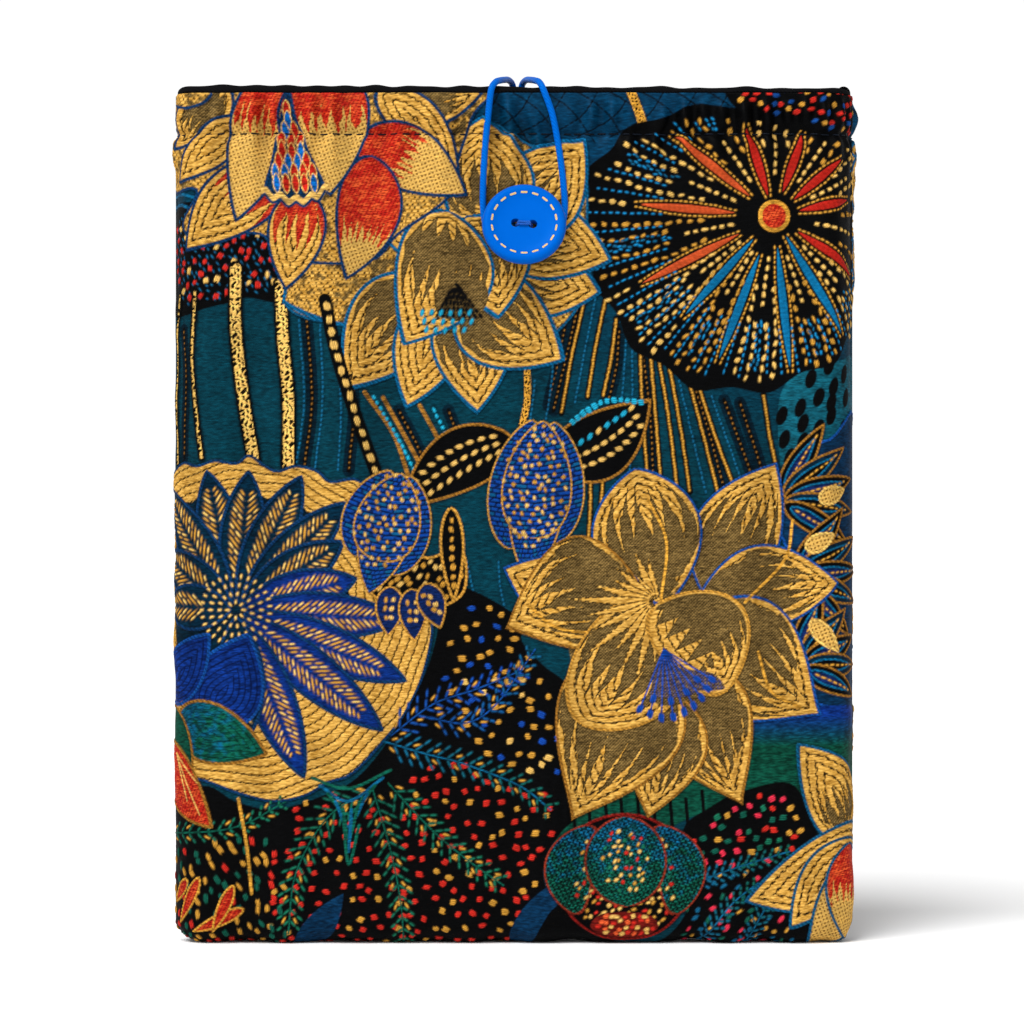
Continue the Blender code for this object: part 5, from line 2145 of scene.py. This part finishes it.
def make_inlay(material):
    """The ring of cream dashes, inlaid in the slope of the rim."""
    bm = bmesh.new()
    top = BUTTON_BACK + BUTTON_THICK
    half_long, half_wide, ends, rise = 0.00130, 0.00037, 5, 0.00011
    for k in range(DASHES):
        middle = 2 * math.pi * (k + 0.5) / DASHES
        outline = []
        for s in range(ends + 1):
            turn = math.pi * s / ends
            round_end = half_long - half_wide + half_wide * math.sin(turn)
            outline.append((round_end, half_wide * math.cos(turn)))
        outline += [(-a, -b) for a, b in outline]
        upper, lower = [], []
        for a, b in outline:
            radius = DASH_RING + b
            turn = middle + a / DASH_RING
            spot = Vector((radius * math.cos(turn), radius * math.sin(turn), top - face_drop(radius)))
            upper.append(bm.verts.new(spot + Vector((0, 0, rise))))
            lower.append(bm.verts.new(spot - Vector((0, 0, 0.0004))))
        bm.faces.new(upper)
        bm.faces.new(lower[::-1])
        for i in range(len(upper)):
            j = (i + 1) % len(upper)
            bm.faces.new((lower[i], lower[j], upper[j], upper[i]))
    bmesh.ops.recalc_face_normals(bm, faces=bm.faces)
    obj = bmesh_object("button_inlay", bm, smooth=False)
    obj.matrix_world = button_matrix()
    put(obj, material, "button")


def make_bridge(material):
    """The sewing thread over the button's face, a few strands from hole to hole."""
    bm = bmesh.new()
    left, right = hole_places()
    across = right.normalized()
    up = Vector((-across.y, across.x, 0))
    face = BUTTON_BACK + BUTTON_THICK - 0.0013
    for strand in range(6):
        lane = (strand - 2.5) * 0.00027
        high = face + 0.00055 + 0.00028 * math.cos(strand * 2.1)
        points = []
        for k in range(-10, 11):
            t = k / 10
            spread = lane * (1 - 0.25 * t * t) + 0.00012 * math.sin(3 * t + strand)
            fall = 0.0030 * max(0, abs(t) - 0.70) / 0.30
            reach = (HOLE_SPACING / 2 - 0.0008) * math.copysign(min(abs(t) / 0.84, 1), t)
            points.append(across * reach + up * spread + Vector((0, 0, high - fall)))
        tube_mesh(bm, points, 0.00027, 8)
    for lane in (-0.00035, 0.00035):
        points = [
            across * (t * HOLE_SPACING * 0.48) + up * lane
            + Vector((0, 0, BUTTON_BACK - 0.0004 + 0.0022 * max(0, abs(t) - 0.7) / 0.3))
            for t in [k / 8 for k in range(-8, 9)]
        ]
        tube_mesh(bm, points, 0.0004, 8)
    obj = bmesh_object("button_bridge", bm)
    obj.matrix_world = button_matrix()
    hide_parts("button_stitch")
    put(obj, material, "button")


def make_shank(material):
    """The wound thread neck between the cover and the button."""
    bm = bmesh.new()
    turns, steps = 7, 20
    points = []
    for k in range(turns * steps + 1):
        t = k / (turns * steps)
        radius = 0.00132 * min(1, 0.35 + 2.5 * t)
        angle = 2 * math.pi * k / steps
        points.append((radius * math.cos(angle), radius * math.sin(angle), 0.0005 + 0.0032 * t))
    tube_mesh(bm, points, 0.00028, 6)
    tube_mesh(bm, [(0, 0, 0.0004), (0, 0, 0.0020), (0, 0, 0.0038)], 0.0012, 16)
    obj = bmesh_object("shank_winding", bm)
    obj.matrix_world = button_matrix()
    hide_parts("button_shank")
    put(obj, material, "shank")


def make_bartack(material):
    """The bar of close stitches that holds the loop's tails in the back hem."""
    bm = bmesh.new()
    low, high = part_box("loop_bartack")
    middle = (low + high) / 2
    for k in range(22):
        x = low.x + 0.0003 + (high.x - low.x - 0.0006) * k / 21
        lean = 0.0002 if k % 2 else -0.0002
        points = [
            (x - lean, middle.y + 0.0002, middle.z - 0.0009),
            (x - lean * 0.5, middle.y + 0.0004, middle.z - 0.0005),
            (x + lean * 0.5, middle.y + 0.0004, middle.z + 0.0005),
            (x + lean, middle.y + 0.0002, middle.z + 0.0009),
        ]
        tube_mesh(bm, points, 0.00022, 6)
    obj = bmesh_object("bartack_stitches", bm)
    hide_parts("loop_bartack")
    put(obj, material)


# ---- the studio ----

DOME = 0.42
KEY = 3.45


def light_the_world(tree):
    """White at the level of the horizon and a softer grey dome above it."""
    where = tree.nodes.new("ShaderNodeTexCoord")
    split = tree.nodes.new("ShaderNodeSeparateXYZ")
    tree.links.new(where.outputs["Generated"], split.inputs[0])
    height = tree.nodes.new("ShaderNodeMath")
    height.operation = "ABSOLUTE"
    tree.links.new(split.outputs["Z"], height.inputs[0])
    ramp = tree.nodes.new("ShaderNodeMapRange")
    ramp.interpolation_type = "SMOOTHSTEP"
    ramp.inputs["From Min"].default_value = 0.15
    ramp.inputs["From Max"].default_value = 0.38
    ramp.inputs["To Min"].default_value = 1.03
    ramp.inputs["To Max"].default_value = DOME
    tree.links.new(height.outputs[0], ramp.inputs["Value"])
    tree.links.new(ramp.outputs[0], tree.nodes["Background"].inputs["Strength"])
    tree.nodes["Background"].inputs["Color"].default_value = (1, 1, 1, 1)


def make_studio():
    """The camera, the lights and the white world behind the sleeve."""
    scene = bpy.context.scene
    camera = bpy.data.objects.new("camera", bpy.data.cameras.new("camera"))
    scene.collection.objects.link(camera)
    camera.location = (-0.0008, -1.5060, 0.1643)
    camera.rotation_euler = (math.radians(90), 0, 0)
    camera.data.angle = math.radians(14.89)
    camera.data.clip_end = 60
    scene.camera = camera
    world = bpy.data.worlds.new("studio")
    world.use_nodes = True
    light_the_world(world.node_tree)
    scene.world = world
    sun = bpy.data.lights.new("key", "SUN")
    sun.energy = KEY
    sun.angle = math.radians(36)
    obj = bpy.data.objects.new("key", sun)
    scene.collection.objects.link(obj)
    obj.rotation_euler = Vector((0.42, 0.66, -0.95)).to_track_quat("-Z", "Y").to_euler()
    fill = bpy.data.lights.new("fill", "AREA")
    fill.energy = 1.6
    fill.size = 0.8
    obj = bpy.data.objects.new("fill", fill)
    scene.collection.objects.link(obj)
    obj.location = (0.9, -1.3, 0.5)
    obj.rotation_euler = Vector((-0.9, 1.3, -0.35)).to_track_quat("-Z", "Y").to_euler()
    bpy.ops.mesh.primitive_plane_add(size=60, location=(0, 0, -0.0004))
    floor = bpy.context.object
    floor.name = "floor"
    n = Nodes("floor_paper")
    grain = n.noise(n.place(), 6.0, 2.0)
    n.set("Base Color", n.mix(grain, (0.93, 0.93, 0.93), (0.95, 0.95, 0.95)))
    n.set("Roughness", 0.9)
    n.set("Specular IOR Level", 0.1)
    floor.data.materials.append(n.material)
    scene.view_settings.view_transform = "Standard"
    scene.view_settings.look = "None"


def main():
    """Makes the materials and then every piece."""
    brocade = brocade_material("brocade_threads")
    lining = lining_material("lining_twill")
    seam = thread_material("seam_thread_dark", (0.003, 0.006, 0.013), sheen=0.0)
    black = thread_material("black_thread_matte", (0.012, 0.012, 0.013))
    blue = thread_material("blue_thread_matte", (0.006, 0.13, 0.62))
    elastic = elastic_material("elastic_blue")
    plastic = plastic_material("button_plastic")
    inlay = thread_material("inlay_cream", (0.90, 0.60, 0.25), 0.5)
    batting = batting_material("padding_felt")
    cover_panel("cover_front", -1, front_layout, 3, brocade)
    cover_panel("cover_back", 1, back_layout, 5, brocade)
    lining_panel("lining_front_cloth", -1, lining)
    lining_panel("lining_back_cloth", 1, lining)
    topstitch("topstitch_front", -1, seam)
    topstitch("topstitch_back", 1, seam)
    for name in ("outer_seam_thread", "lining_seam_thread"):
        retint(name, seam)
    for name in ("padding_front", "padding_back"):
        retint(name, batting)
    retint("button_knot", blue)
    make_loop(elastic)
    make_button(plastic, inlay)
    make_bridge(blue)
    make_shank(blue)
    make_bartack(black)
    make_studio()


main()
